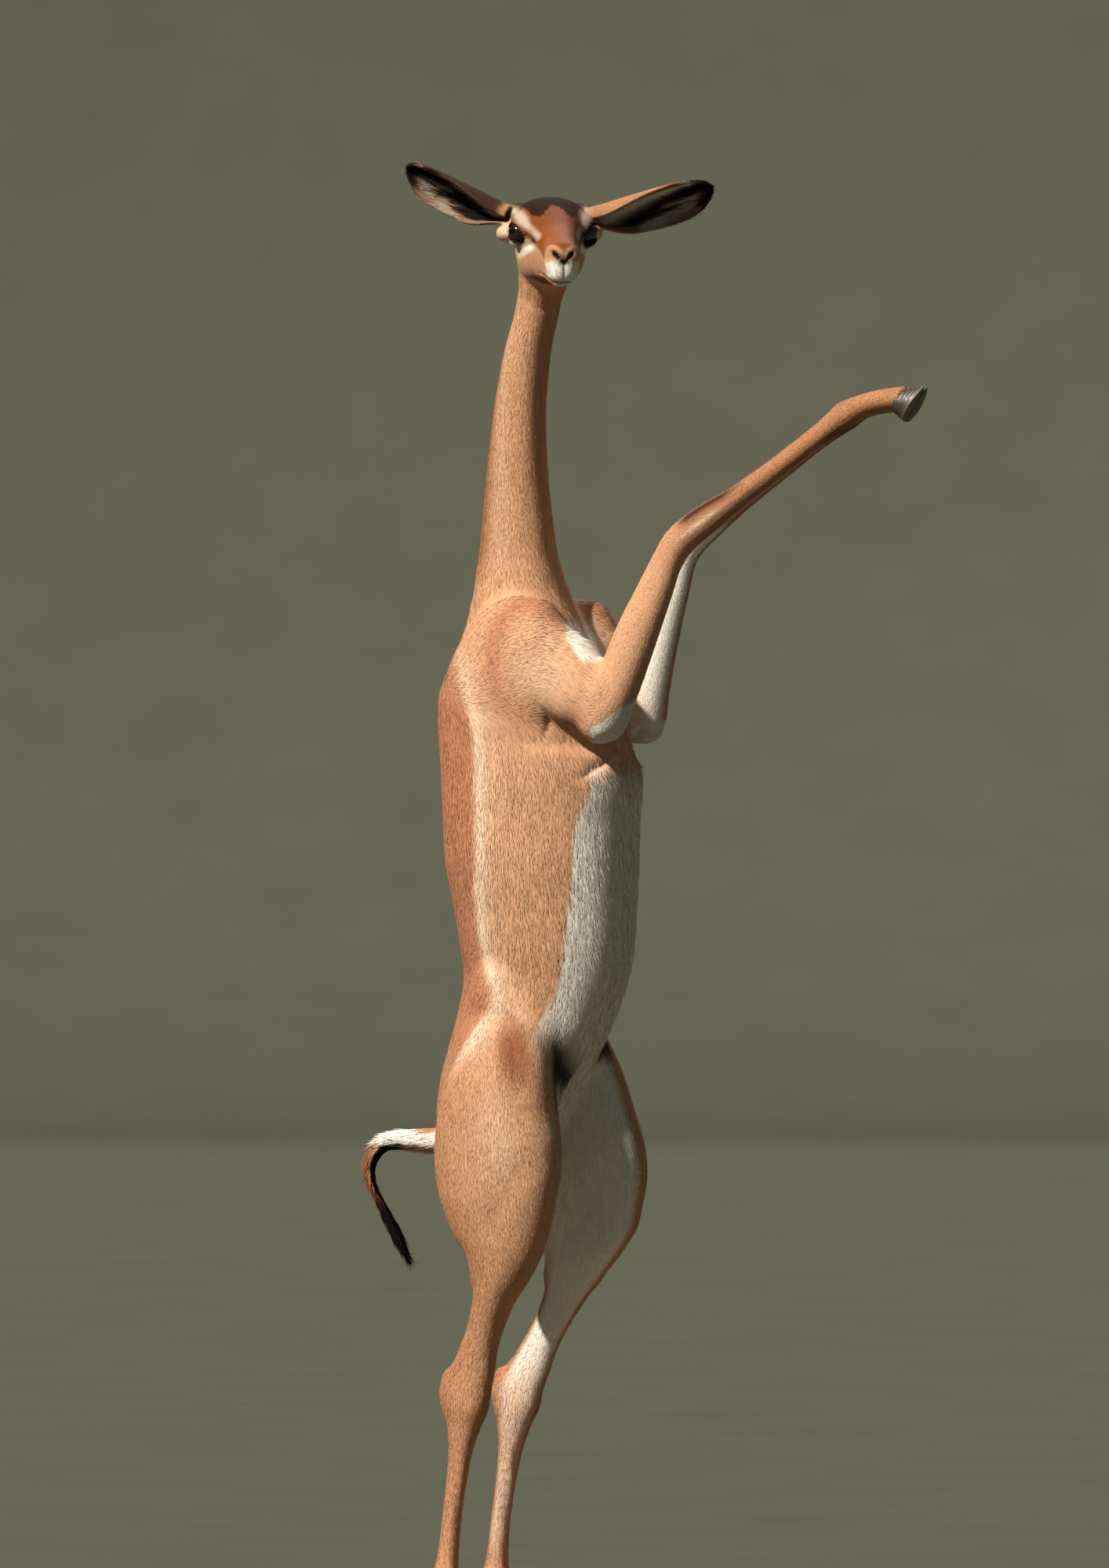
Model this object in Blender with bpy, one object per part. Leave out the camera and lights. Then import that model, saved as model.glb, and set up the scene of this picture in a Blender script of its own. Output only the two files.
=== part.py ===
"""A gerenuk, a long-necked antelope, standing upright on its hind legs: a still, life-size model on a flat base.

Metres, +Z up. +X is the way the belly faces and +Y is the animal's left. The origin is on the floor, under the
hind feet. The flesh is one rounded shape, a formula made of limbs with oval slices that melt into each other, and
thin flat cuts part it into the pieces that a person would name. Eyes, hooves and the base are pieces of their own.
Heights in the tables are above the soles of the hind hooves; the finished pieces are lifted onto the base.
"""

import math

import bmesh
import bpy
import numpy as np
from mathutils import Matrix, Vector

# The base, and how far its top lies under the hooves.
BASE_LENGTH, BASE_WIDTH, BASE_THICK = 0.70, 0.50, 0.022
BASE_FORWARD, BASE_CORNER, BASE_CHAMFER = 0.12, 0.06, 0.003
LIFT = BASE_THICK + 0.0003

# The width of a cut, and the clearance round an eye.
CUT = 0.0005
EYE_CLEAR = 0.0005

# How fine the shape is worked out, and how many triangles stay.
BODY_VOXEL, HEAD_VOXEL = 0.0045, 0.0019
BODY_TRIANGLES, HEAD_TRIANGLES = 3280, 1800

# The head's place and aim. In its own frame U is forward along the face, V is its left and W is up.
HEAD_AT = (0.146, -0.063, 1.805)
HEAD_TURN, HEAD_NOD = math.radians(-55), math.radians(1.5)
EYE_AT, EYE_RADIUS = (0.004, 0.0405, 0.000), 0.0158
EYE_SLOT, EYE_SLOT_SIZE = (0.0145, 0.0560, 0.0005), (0.0158, 0.0195, 0.0122)
# How far the face is sloped down for each metre ahead of the eyes.
FACE_DROP = 0.070

# Level slices: height, forward, sideways, half depth, half width, turn in degrees.
TRUNK = (
    (0.605, 0.022, 0, 0.040, 0.044, 0),
    (0.640, 0.022, 0, 0.062, 0.060, 0),
    (0.680, 0.034, 0, 0.081, 0.070, 0),
    (0.725, 0.053, 0, 0.095, 0.075, 0),
    (0.770, 0.074, 0, 0.104, 0.076, 0),
    (0.815, 0.092, 0, 0.109, 0.074, 0),
    (0.860, 0.104, 0, 0.113, 0.078, 0),
    (0.905, 0.105, 0, 0.119, 0.085, 0),
    (0.955, 0.102, 0, 0.125, 0.090, 0),
    (1.005, 0.098, 0, 0.131, 0.094, 0),
    (1.060, 0.097, 0, 0.134, 0.094, 0),
    (1.115, 0.097, 0, 0.137, 0.093, 0),
    (1.165, 0.087, 0, 0.131, 0.088, 0),
    (1.195, 0.080, 0, 0.125, 0.083, 0),
    (1.225, 0.078, 0, 0.117, 0.078, 0),
    (1.265, 0.077, 0, 0.100, 0.070, 0),
    (1.305, 0.0745, 0, 0.082, 0.061, 0),
)
NECK = (
    (1.330, 0.0710, 0.000, 0.0720, 0.0560, 0),
    (1.353, 0.0680, 0.000, 0.0640, 0.0515, 0),
    (1.378, 0.0652, 0.000, 0.0580, 0.0470, 0),
    (1.405, 0.0635, 0.000, 0.0525, 0.0430, 0),
    (1.465, 0.0620, 0.000, 0.0455, 0.0380, 0),
    (1.505, 0.0620, 0.000, 0.0420, 0.0360, -4),
    (1.545, 0.0635, 0.000, 0.0385, 0.0340, -9),
    (1.585, 0.0660, 0.000, 0.0365, 0.0320, -15),
    (1.625, 0.0710, 0.001, 0.0350, 0.0310, -24),
    (1.665, 0.0780, 0.002, 0.0340, 0.0300, -34),
    (1.705, 0.0885, 0.003, 0.0340, 0.0295, -45),
    (1.740, 0.0960, 0.001, 0.0350, 0.0300, -53),
    (1.775, 0.1030, -0.004, 0.0360, 0.0310, -55),
)
HIND_LEG = (
    (0.083, -0.010, 0.060, 0.0200, 0.0172, 0),
    (0.100, -0.009, 0.060, 0.0178, 0.0155, 0),
    (0.125, -0.006, 0.059, 0.0150, 0.0132, 0),
    (0.170, -0.001, 0.058, 0.0142, 0.0125, 0),
    (0.215, 0.005, 0.058, 0.0145, 0.0125, 0),
    (0.255, 0.011, 0.058, 0.0172, 0.0140, 0),
    (0.285, 0.016, 0.058, 0.0235, 0.0170, 0),
    (0.310, 0.021, 0.059, 0.0300, 0.0200, 0),
    (0.335, 0.024, 0.060, 0.0325, 0.0195, 0),
    (0.358, 0.030, 0.062, 0.0325, 0.0180, 0),
    (0.385, 0.040, 0.065, 0.0285, 0.0180, 0),
    (0.415, 0.053, 0.068, 0.0265, 0.0200, 0),
    (0.448, 0.067, 0.073, 0.0310, 0.0235, 0),
    (0.475, 0.078, 0.076, 0.0410, 0.0280, 0),
    (0.505, 0.084, 0.078, 0.0530, 0.0330, 0),
    (0.537, 0.081, 0.080, 0.0690, 0.0370, 0),
    (0.575, 0.078, 0.081, 0.0810, 0.0430, 0),
    (0.612, 0.077, 0.079, 0.0880, 0.0480, 0),
    (0.650, 0.075, 0.076, 0.0880, 0.0520, 0),
    (0.690, 0.073, 0.072, 0.0810, 0.0540, 0),
    (0.735, 0.073, 0.068, 0.0720, 0.0520, 0),
    (0.780, 0.074, 0.059, 0.0610, 0.0440, 0),
    (0.815, 0.075, 0.049, 0.0500, 0.0350, 0),
    (0.850, 0.080, 0.038, 0.0400, 0.0260, 0),
)
# How much further forward the left hind leg stands than the right, by height.
LEFT_HIND_AHEAD = (
    (0.080, 0.008), (0.330, 0.011), (0.370, 0.015), (0.420, 0.022), (0.485, 0.025), (0.540, 0.040),
    (0.600, 0.040), (0.670, 0.037), (0.740, 0.028), (0.815, 0.012),
)
# How much further forward the left foreleg is than the right, by height.
LEFT_FORE_AHEAD = (
    (1.15, -0.026), (1.192, -0.029), (1.22, -0.037), (1.248, -0.043), (1.284, -0.048), (1.324, -0.052), (1.38, -0.055),
    (1.44, -0.061), (1.62, -0.066),
)
LEFT_ARM_AHEAD = ((1.0, -0.038), (1.4, -0.038))

# Bones as curves: forward, sideways, height, half depth in the upright plane, half width.
SHOULDER = (
    (0.010, 0.036, 1.200, 0.036, 0.018),
    (0.045, 0.050, 1.240, 0.052, 0.026),
    (0.090, 0.062, 1.285, 0.055, 0.030),
    (0.135, 0.068, 1.300, 0.043, 0.030),
)
UPPER_ARM = (
    (0.050, 0.050, 1.195, 0.070, 0.026),
    (0.105, 0.062, 1.235, 0.066, 0.032),
    (0.160, 0.070, 1.245, 0.060, 0.036),
    (0.198, 0.077, 1.218, 0.048, 0.034),
    (0.227, 0.080, 1.192, 0.034, 0.026),
)
FORELEG = (
    (0.228, 0.080, 1.178, 0.0270, 0.0235),
    (0.237, 0.080, 1.203, 0.0295, 0.0255),
    (0.253, 0.078, 1.243, 0.0305, 0.0245),
    (0.2745, 0.076, 1.296, 0.0290, 0.0220),
    (0.2985, 0.073, 1.350, 0.0245, 0.0188),
    (0.3140, 0.071, 1.385, 0.0212, 0.0172),
    (0.3330, 0.070, 1.413, 0.0216, 0.0182),
    (0.3690, 0.069, 1.440, 0.0202, 0.0172),
    (0.408, 0.068, 1.465, 0.0158, 0.0142),
    (0.460, 0.067, 1.499, 0.0140, 0.0120),
    (0.520, 0.066, 1.540, 0.0140, 0.0120),
    (0.548, 0.065, 1.559, 0.0160, 0.0145),
    (0.566, 0.065, 1.571, 0.0180, 0.0160),
    (0.590, 0.065, 1.582, 0.0150, 0.0150),
    (0.616, 0.064, 1.588, 0.0150, 0.0160),
    (0.645, 0.064, 1.591, 0.0158, 0.0166),
)
HIP_BONE, HIP_BONE_SIZE = (0.060, 0.066, 0.838), (0.018, 0.014, 0.026)
HOCK_TIP, HOCK_TIP_SIZE = (-0.003, 0.060, 0.330), (0.0105, 0.0105, 0.028)
HIND_PASTERN = (
    (-0.009, 0.060, 0.090, 0.0195, 0.0172),
    (-0.003, 0.060, 0.070, 0.0160, 0.0160),
    (0.008, 0.060, 0.047, 0.0155, 0.0162),
    (0.020, 0.060, 0.028, 0.0158, 0.0166),
)
TAIL = (
    (-0.020, 0, 0.655, 0.0200, 0.0210),
    (-0.050, 0, 0.651, 0.0180, 0.0200),
    (-0.078, 0, 0.650, 0.0155, 0.0178),
    (-0.106, 0, 0.650, 0.0130, 0.0152),
    (-0.128, 0, 0.646, 0.0115, 0.0130),
    (-0.143, 0, 0.633, 0.0095, 0.0110),
    (-0.1495, 0, 0.616, 0.0074, 0.0088),
    (-0.1485, 0, 0.600, 0.0062, 0.0074),
    (-0.143, 0, 0.584, 0.0057, 0.0068),
    (-0.134, 0, 0.567, 0.0058, 0.0068),
    (-0.124, 0, 0.549, 0.0064, 0.0076),
    (-0.114, 0, 0.531, 0.0068, 0.0080),
    (-0.104, 0, 0.513, 0.0058, 0.0066),
    (-0.099, 0, 0.504, 0.0042, 0.0046),
)
# Slices across the head: forward, half width, top, bottom.
HEAD = (
    (-0.092, 0.0240, 0.0100, -0.0280),
    (-0.080, 0.0350, 0.0260, -0.0440),
    (-0.062, 0.0420, 0.0400, -0.0560),
    (-0.040, 0.0460, 0.0465, -0.0630),
    (-0.018, 0.0470, 0.0470, -0.0660),
    (0.004, 0.0440, 0.0410, -0.0665),
    (0.022, 0.0385, 0.0320, -0.0665),
    (0.042, 0.0320, 0.0215, -0.0665),
    (0.062, 0.0270, 0.0110, -0.0665),
    (0.082, 0.0238, 0.0015, -0.0668),
    (0.098, 0.0226, -0.0060, -0.0655),
    (0.106, 0.0212, -0.0092, -0.0630),
    (0.1115, 0.0182, -0.0130, -0.0600),
    (0.1155, 0.0125, -0.0190, -0.0550),
)
HEAD_END = 0.004
# The flat cut between the head and the neck, in the head's frame: a place on it and the way to the head's side.
NAPE_AT, NAPE_ACROSS = (-0.070, 0.0, -0.030), (0.862, 0.0, 0.507)
HEAD_TAPER, HEAD_POWER = 0.17, 2.35
# Rounded masses on each side of the head: place, half sizes, and how wide they melt in.
HEAD_MASSES = (
    ((0.000, 0.0360, 0.0050), (0.0270, 0.0195, 0.0200), 0.010),
    ((-0.018, 0.0230, -0.0320), (0.0340, 0.0150, 0.0260), 0.014),
    ((-0.042, 0.0400, 0.0180), (0.0190, 0.0150, 0.0220), 0.012),
    ((-0.030, 0.0510, 0.0010), (0.0170, 0.0175, 0.0125), 0.008),
)
# Each ear: its root, the way from root to tip, and the way its hollow faces, in the head's frame.
EAR_RIGHT = ((-0.040, -0.047, 0.031), (-0.075, -0.1235, 0.055), (0.53, -0.59, -0.61))
EAR_LEFT = ((-0.040, 0.047, 0.027), (-0.015, 0.164, 0.032), (0.74, 0.10, -0.62))
# Along an ear: share of its length, half its width round the curve, and the angle that it curls through.
EAR_FORM = (
    (0.00, 0.0270, 5.0),
    (0.12, 0.0330, 4.4),
    (0.28, 0.0385, 3.3),
    (0.45, 0.0385, 2.45),
    (0.62, 0.0370, 1.95),
    (0.78, 0.0325, 1.65),
    (0.90, 0.0250, 1.50),
    (0.97, 0.0140, 1.40),
    (1.00, 0.0060, 1.40),
)
EAR_THICK = 0.0048

# A claw of a hoof. The fore claws' soles are tipped up from the level by the angle.
CLAW_LENGTH, CLAW_WIDTH, CLAW_HEIGHT, CLAW_APART = 0.052, 0.0160, 0.0265, 0.0009
CROWN_LENGTH, CROWN_BACK, CROWN_SLOPE = 0.56, 0.18, 0.30
HIND_TOE = (0.053, 0.060, 0.0)
FORE_TOE, FORE_TIP_UP = (0.680, 0.064, 1.606), math.radians(56)

CROWN_GAP, CLAW_SIDES = 0.0002, 14

# Where the flesh is cut. Plain cuts: place, way across, half size. Others: row or height, then tilt, half size.
PLAIN_CUTS = (
    ((0.066, 0, 1.362), (0.12, 0, 1), 0.088),
    ((0.063, 0, 1.560), (0, 0, 1), 0.060),
    ((0.100, 0, 1.030), (0, 0, 1), 0.165),
    ((0.100, 0, 0.872), (0, 0, 1), 0.150),
)
TAIL_CUTS = ((1.40, 0.030), (6.0, 0.020))
FORELEG_CUTS = ((6.0, 0.034), (11.0, 0.030))
ELBOW_CUT, ELBOW_ACROSS, ELBOW_CUT_SIZE = (0.2525, 0.0755, 1.226), (0.954, 0, 0.300), (0.0495, 0.090)
HIND_LEG_CUTS = ((0.515, 0.30, 0.076), (0.318, 0.20, 0.044), (0.098, 0.0, 0.030))
THIGH_CUT, THIGH_CUT_X, THIGH_CUT_DEEP = ((-0.006, 0.540), (0.125, 0.865)), 0.062, 0.138
EAR_CUT, EAR_CUT_SIZE, CROWN_CUT_SIZE = 0.15, 0.034, 0.030
# Half the size of the block above the nape that is cut from the body, where the head has its own mesh.
NAPE_ROOM = 0.12
BODY_BOX = (-0.19, -0.15, 0.0), (0.72, 0.15, 1.80)
HEAD_BOX = (-0.10, -0.22, 1.66), (0.32, 0.15, 1.92)
# Each side: its sign, then how far forward its foreleg and hind leg are shifted.
SIDES = ((-1, None, None), (1, LEFT_FORE_AHEAD, LEFT_HIND_AHEAD))
PLAIN_PLACES = {
    "neck_upper": (0.085, 0, 1.660),
    "neck_lower": (0.063, 0, 1.460),
    "trunk_chest": (0.100, 0, 1.200),
    "trunk_belly": (0.100, 0, 0.950),
    "trunk_rump": (0.060, 0, 0.740),
    "tail_upper": (-0.115, 0, 0.650),
    "tail_lower": (-0.130, 0, 0.560),
}

# What a shape gives for points far from it, and how far from it that starts.
EMPTY, REACH = 0.5, 0.07
COLOURS = {
    "tan": ((0.56, 0.30, 0.15), 0.75),
    "white": ((0.80, 0.74, 0.64), 0.75),
    "dark": ((0.05, 0.035, 0.03), 0.7),
    "eye": ((0.01, 0.006, 0.005), 0.1),
    "hoof": ((0.04, 0.03, 0.025), 0.4),
    "base": ((0.32, 0.27, 0.22), 0.6),
}


def spline(rows, count):
    """Read the rows at `count` even steps of a Catmull-Rom curve through them, column by column."""
    rows = np.asarray(rows, float)
    steps = np.linspace(0, len(rows) - 1, count)
    first = np.minimum(steps.astype(int), len(rows) - 2)
    share = (steps - first)[:, None]
    before = rows[np.maximum(first - 1, 0)]
    start, end = rows[first], rows[first + 1]
    after = rows[np.minimum(first + 2, len(rows) - 1)]
    return 0.5 * (
        2 * start
        + (end - before) * share
        + (2 * before - 5 * start + 4 * end - after) * share**2
        + (3 * start - before - 3 * end + after) * share**3
    )


def melt(a, b, width):
    """The union of two shapes, rounded where they meet over `width`."""
    share = np.clip(0.5 + 0.5 * (b - a) / width, 0, 1)
    return b + (a - b) * share - width * share * (1 - share)


def scoop(a, b, width):
    """Shape a with shape b taken away, rounded over `width`."""
    return -melt(-a, b, width)


def oval(offset, radii, power=2.0):
    """The distance from the centre, less the radius in that direction, of an egg or a squarer oval."""
    far = np.linalg.norm(offset, axis=1) + 1e-9
    ratio = (np.abs(offset / radii) ** power).sum(axis=1) ** (1 / power) + 1e-9
    return far - far / ratio


def near_only(shape, spots, radius):
    """Work a shape out only for points near the box of its spots; the others are EMPTY."""
    low, high = (edge(np.atleast_2d(spots), axis=0) for edge in (np.min, np.max))
    room = radius + REACH

    def limited(p):
        inside = ((p > low - room) & (p < high + room)).all(axis=1)
        value = np.full(len(p), EMPTY)
        value[inside] = shape(p[inside])
        return value

    return limited


def stack(rows, side=1.0, ahead=None, power=2.1):
    """A limb of level oval slices."""
    fine = spline(rows, 160)
    fine[:, 1] += ahead_of(fine[:, 0], ahead)

    def shape(p):
        level = np.clip(p[:, 2], fine[0, 0], fine[-1, 0])
        x, y, deep, wide, turn = (np.interp(level, fine[:, 0], fine[:, i]) for i in range(1, 6))
        cos, sin = np.cos(np.radians(turn)), np.sin(np.radians(turn))
        dx, dy = p[:, 0] - x, p[:, 1] - side * y
        offset = np.stack([dx * cos + dy * sin, dy * cos - dx * sin, p[:, 2] - level], axis=1)
        return oval(offset, np.stack([deep, wide, np.minimum(deep, wide)], axis=1), power)

    spots = fine[:, 1:4] * (1, side, 0) + fine[:, :1] * (0, 0, 1)
    return near_only(shape, spots, fine[:, 3:5].max())


def ahead_of(heights, table):
    """How far forward a left limb is shifted at each height."""
    return np.interp(heights, *zip(*table)) if table else 0.0


def sweep(rows, side=1.0, ahead=None):
    """A limb with oval slices square to a curve."""
    fine = spline(rows, 5 * len(rows))
    fine[:, 0] += ahead_of(fine[:, 2], ahead)
    line = fine[:, :3] * (1, side, 1)
    run = np.diff(line, axis=0)
    length = np.linalg.norm(run, axis=1)

    def shape(p):
        best, value = np.full(len(p), 1e9), np.full(len(p), EMPTY)
        for i, along in enumerate(run / length[:, None]):
            share = np.clip(((p - line[i]) @ along) / length[i], 0, 1)
            away = p - line[i] - (share * length[i])[:, None] * along
            far = (away**2).sum(axis=1)
            across = np.cross(along, (0, 1, 0))
            across /= np.linalg.norm(across)
            deep, wide = (fine[i, c] + share * (fine[i + 1, c] - fine[i, c]) for c in (3, 4))
            offset = np.stack([away @ across, away @ np.cross(across, along), away @ along], axis=1)
            found = oval(offset, np.stack([deep, wide, np.minimum(deep, wide)], axis=1))
            value = np.where(far < best, found, value)
            best = np.minimum(best, far)
        return value

    return near_only(shape, line, fine[:, 3:5].max())


def egg(centre, radii):
    return near_only(lambda p: oval(p - centre, np.array(radii)), centre, max(radii))


HEAD_AXES = np.array(Matrix.Rotation(HEAD_TURN, 3, "Z") @ Matrix.Rotation(-HEAD_NOD, 3, "Y")).T


def from_head(q):
    """A place in the head's frame as a place in the model."""
    return np.asarray(q, float) @ HEAD_AXES + HEAD_AT


def head_core(q):
    """The skull and jaws: rounded slices across the head, narrower below than above."""
    fine = spline(HEAD, 120)
    u = np.clip(q[:, 0], fine[0, 0], fine[-1, 0])
    wide, top, low = (np.interp(u, fine[:, 0], fine[:, i]) for i in (1, 2, 3))
    middle, tall = (top + low) / 2, (top - low) / 2
    wide = wide * (1 + HEAD_TAPER * np.clip((q[:, 2] - middle) / tall, -1, 1))
    offset = np.stack([q[:, 0] - u, q[:, 1], q[:, 2] - middle], axis=1)
    return oval(offset, np.stack([np.full(len(q), HEAD_END), wide, tall], axis=1), HEAD_POWER)


def ear(form):
    """A leaf of even thickness that lies on a circle's arc at each step from root to tip, and curls shut at the root."""
    root, reach, facing = (np.array(v, float) for v in form)
    length = np.linalg.norm(reach)
    axis = reach / length
    face = facing - (facing @ axis) * axis
    face /= np.linalg.norm(face)
    cross = np.cross(axis, face)
    table = spline(EAR_FORM, 80)

    def shape(q):
        along = (q - root) @ axis
        share = np.clip(along / length, 0, 1)
        half = np.interp(share, table[:, 0], table[:, 1])
        curl = np.interp(share, table[:, 0], table[:, 2])
        radius = 2 * half / curl
        b, c = radius - (q - root) @ face, (q - root) @ cross
        angle = np.clip(np.arctan2(c, b), -curl / 2, curl / 2)
        away = np.stack([b - radius * np.cos(angle), c - radius * np.sin(angle), along - share * length], axis=1)
        return np.linalg.norm(away, axis=1) - EAR_THICK / 2

    return shape


def head_shape(p):
    """The head with its brows, cheeks, ear roots and lids, and with the slots that the eyes look out of."""
    q = (p - HEAD_AT) @ HEAD_AXES.T
    q[:, 2] += FACE_DROP * np.maximum(q[:, 0], 0)
    value = head_core(q)
    for side in (-1, 1):
        mirror = np.array((1, side, 1))
        for place, size, width in HEAD_MASSES:
            value = melt(value, oval(q - place * mirror, np.array(size)), width)
        lid = np.linalg.norm(q - EYE_AT * mirror, axis=1) - EYE_RADIUS - 0.0015
        value = scoop(melt(value, lid, 0.005), oval(q - EYE_SLOT * mirror, np.array(EYE_SLOT_SIZE)), 0.003)
    for form in (EAR_RIGHT, EAR_LEFT):
        value = melt(value, ear(form)(q), 0.005)
    return value


def throat():
    """The nape and throat, which carry the neck up into the back of the head."""
    return (
        (egg(tuple(from_head((-0.062, 0, -0.036))), (0.030, 0.026, 0.044)), 0.02),
    )


def trunk_and_limbs():
    """Every shape below the head, in the order that they melt together, with the width of each melt."""
    shapes = [(stack(TRUNK + NECK), 0.0)]
    for side in (-1, 1):
        arm, fore, hind = (LEFT_ARM_AHEAD, LEFT_FORE_AHEAD, LEFT_HIND_AHEAD) if side > 0 else (None,) * 3
        hock = (HOCK_TIP[0] + ahead_of(HOCK_TIP[2], hind), side * HOCK_TIP[1], HOCK_TIP[2])
        shapes += [
            (sweep(SHOULDER, side), 0.030),
            (sweep(UPPER_ARM, side, arm), 0.030),
            (sweep(FORELEG, side, fore), 0.018),
            (stack(HIND_LEG, side, hind), 0.022),
            (sweep(HIND_PASTERN, side, hind), 0.008),
            (egg(HIP_BONE * np.array((1, side, 1)), HIP_BONE_SIZE), 0.030),
            (egg(hock, HOCK_TIP_SIZE), 0.018),
        ]
    return shapes + [(sweep(TAIL), 0.010)]


def joined(shapes, p):
    """All the shapes melted together, one after another."""
    value = shapes[0][0](p)
    for shape, width in shapes[1:]:
        value = melt(value, shape(p), width)
    return value


def body_field(p):
    return joined(trunk_and_limbs() + list(throat()), p)


def head_field(p):
    return melt(joined([(stack(TRUNK + NECK), 0.0), *throat()], p), head_shape(p), 0.016)


def sampled(field, low, high, voxel, block=4):
    """The field on a grid. A block of cells far from the surface takes one value; the others are worked out in full."""
    count = np.ceil((np.asarray(high) - low) / (voxel * block)).astype(int)
    corner = np.stack(np.meshgrid(*(np.arange(n) for n in count), indexing="ij"), axis=-1).reshape(-1, 3)
    rough = field(low + (corner * block + (block - 1) / 2) * voxel)
    near = np.abs(rough) < voxel * block * 1.6
    inner = np.stack(np.meshgrid(*(np.arange(block),) * 3, indexing="ij"), axis=-1).reshape(-1, 3)
    spots = (corner[near][:, None, :] * block + inner).reshape(-1, 3)
    grid = rough.reshape(count)
    for axis in range(3):
        grid = np.repeat(grid, block, axis)
    grid[tuple(spots.T)] = field(low + spots * voxel)
    for axis in range(3):
        for end in (0, -1):
            np.moveaxis(grid, axis, 0)[end] = voxel
    return unpinched(grid, voxel)


def unpinched(grid, voxel):
    """Fill each cell face whose corners alternate in and out, and each cell that meets the shape at two far corners."""
    size = grid.shape
    groups = []
    for axis in range(3):
        step, other = np.eye(3, dtype=int)[[axis, axis - 1]]
        groups.append([step * 0, step, step + other, other])
    groups += [[CORNERS[i], CORNERS[7 - i]] for i in range(4)]
    while True:
        inside = grid < 0
        total = sum(shifted(inside, corner, (1, 1, 1)).astype(np.int8) for corner in CORNERS)
        pinches = []
        for group in groups:
            if len(group) == 4:
                a, b, c, d = (shifted(inside, corner, group[2]) for corner in group)
                found = np.argwhere((a == c) & (b == d) & (a != b))
            else:
                a, b = (shifted(inside, corner, (1, 1, 1)) for corner in group)
                found = np.argwhere((a & b & (total == 2)) | (~a & ~b & (total == 6)))
            pinches += [found + corner for corner in group]
        spots = np.concatenate(pinches)
        if not len(spots):
            return grid.reshape(size)
        at = tuple(spots.T)
        grid[at] = np.minimum(grid[at], -voxel * 0.1)


def shifted(array, corner, room):
    """The array from a corner on, cut so that all the corners of the room fit in."""
    return array[tuple(slice(c, n - r + c) for c, n, r in zip(corner, array.shape, room))]


CORNERS = np.array([(i, j, k) for i in (0, 1) for j in (0, 1) for k in (0, 1)])
EDGES = [(a, b) for a in range(8) for b in range(a + 1, 8) if np.abs(CORNERS[a] - CORNERS[b]).sum() == 1]


def skinned(grid, low, voxel):
    """Surface nets: one point in each cell that the surface crosses, one quad round each grid edge that it crosses."""
    shape = np.array(grid.shape)
    inside = grid < 0
    total = sum(shifted(inside, corner, (1, 1, 1)).astype(int) for corner in CORNERS)
    cells = np.argwhere((total > 0) & (total < 8))
    values = grid[tuple((cells[:, None, :] + CORNERS).reshape(-1, 3).T)].reshape(-1, 8)
    place, hits = np.zeros((len(cells), 3)), np.zeros(len(cells))
    for a, b in EDGES:
        crossed = (values[:, a] < 0) != (values[:, b] < 0)
        share = values[:, a] / np.where(crossed, values[:, a] - values[:, b], 1)
        place += crossed[:, None] * (CORNERS[a] + share[:, None] * (CORNERS[b] - CORNERS[a]))
        hits += crossed
    points = low + (cells + place / hits[:, None]) * voxel
    number = np.full(shape, -1)
    number[tuple(cells.T)] = np.arange(len(cells))
    quads = []
    for axis in range(3):
        step = np.eye(3, dtype=int)
        here = inside[tuple(slice(0, n - step[axis][i]) for i, n in enumerate(shape))]
        there = inside[tuple(slice(step[axis][i], None) for i in range(3))]
        edges = np.argwhere(here != there)
        one, two = step[(axis + 1) % 3], step[(axis + 2) % 3]
        ring = [number[tuple((edges - shift).T)] for shift in (one + two, two, one * 0, one)]
        loop = np.stack(ring, axis=1)
        out = here[tuple(edges.T)]
        quads.append(np.where(out[:, None], loop, loop[:, ::-1]))
    return points, np.concatenate(quads)


def settled(points, field, voxel, rounds=2):
    """Move each point along the field's slope until it lies on the surface."""
    step = voxel * 0.25
    for _ in range(rounds):
        slope = np.stack([field(points + d) - field(points - d) for d in np.eye(3) * step], axis=1) / (2 * step)
        size = (slope**2).sum(axis=1) + 1e-6
        move = (field(points) / size)[:, None] * slope
        points = points - np.clip(move, -voxel / 3, voxel / 3)
    return points


def flesh(name, field, low, high, voxel, triangles):
    """One closed mesh of the field within a box, with about the given number of triangles."""
    points, quads = skinned(sampled(field, np.array(low), high, voxel), np.array(low), voxel)
    mesh = bpy.data.meshes.new(name)
    mesh.from_pydata(settled(points, field, voxel).tolist(), [], quads.tolist())
    piece = linked(name, mesh)
    thin = piece.modifiers.new("thin", "DECIMATE")
    thin.ratio = triangles / (2 * len(quads))
    return baked(piece)


def linked(name, mesh):
    piece = bpy.data.objects.new(name, mesh)
    bpy.context.scene.collection.objects.link(piece)
    return piece


def baked(piece):
    """Apply the piece's modifiers, so that its mesh is what shows."""
    graph = bpy.context.evaluated_depsgraph_get()
    mesh = bpy.data.meshes.new_from_object(piece.evaluated_get(graph))
    piece.modifiers.clear()
    piece.data = mesh
    return piece


def slab(place, across, size, tall=None, thick=CUT):
    """A flat cutter, given its middle, the way across it, its half size along Y and, where it differs, up it."""
    across = Vector(across).normalized()
    side = Vector((0, 1, 0)) if abs(across.y) < 0.5 else Vector((1, 0, 0))
    up = side.cross(across).normalized()
    turn = Matrix((across.cross(up) * -1, up, across)).transposed().to_4x4()
    data = bmesh.new()
    size = Matrix.Diagonal((2 * size, 2 * (tall or size), thick, 1))
    bmesh.ops.create_cube(data, size=1, matrix=Matrix.Translation(place) @ turn @ size)
    bmesh.ops.recalc_face_normals(data, faces=data.faces)
    mesh = bpy.data.meshes.new("cutter")
    data.to_mesh(mesh)
    data.free()
    return linked("cutter", mesh)


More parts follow.
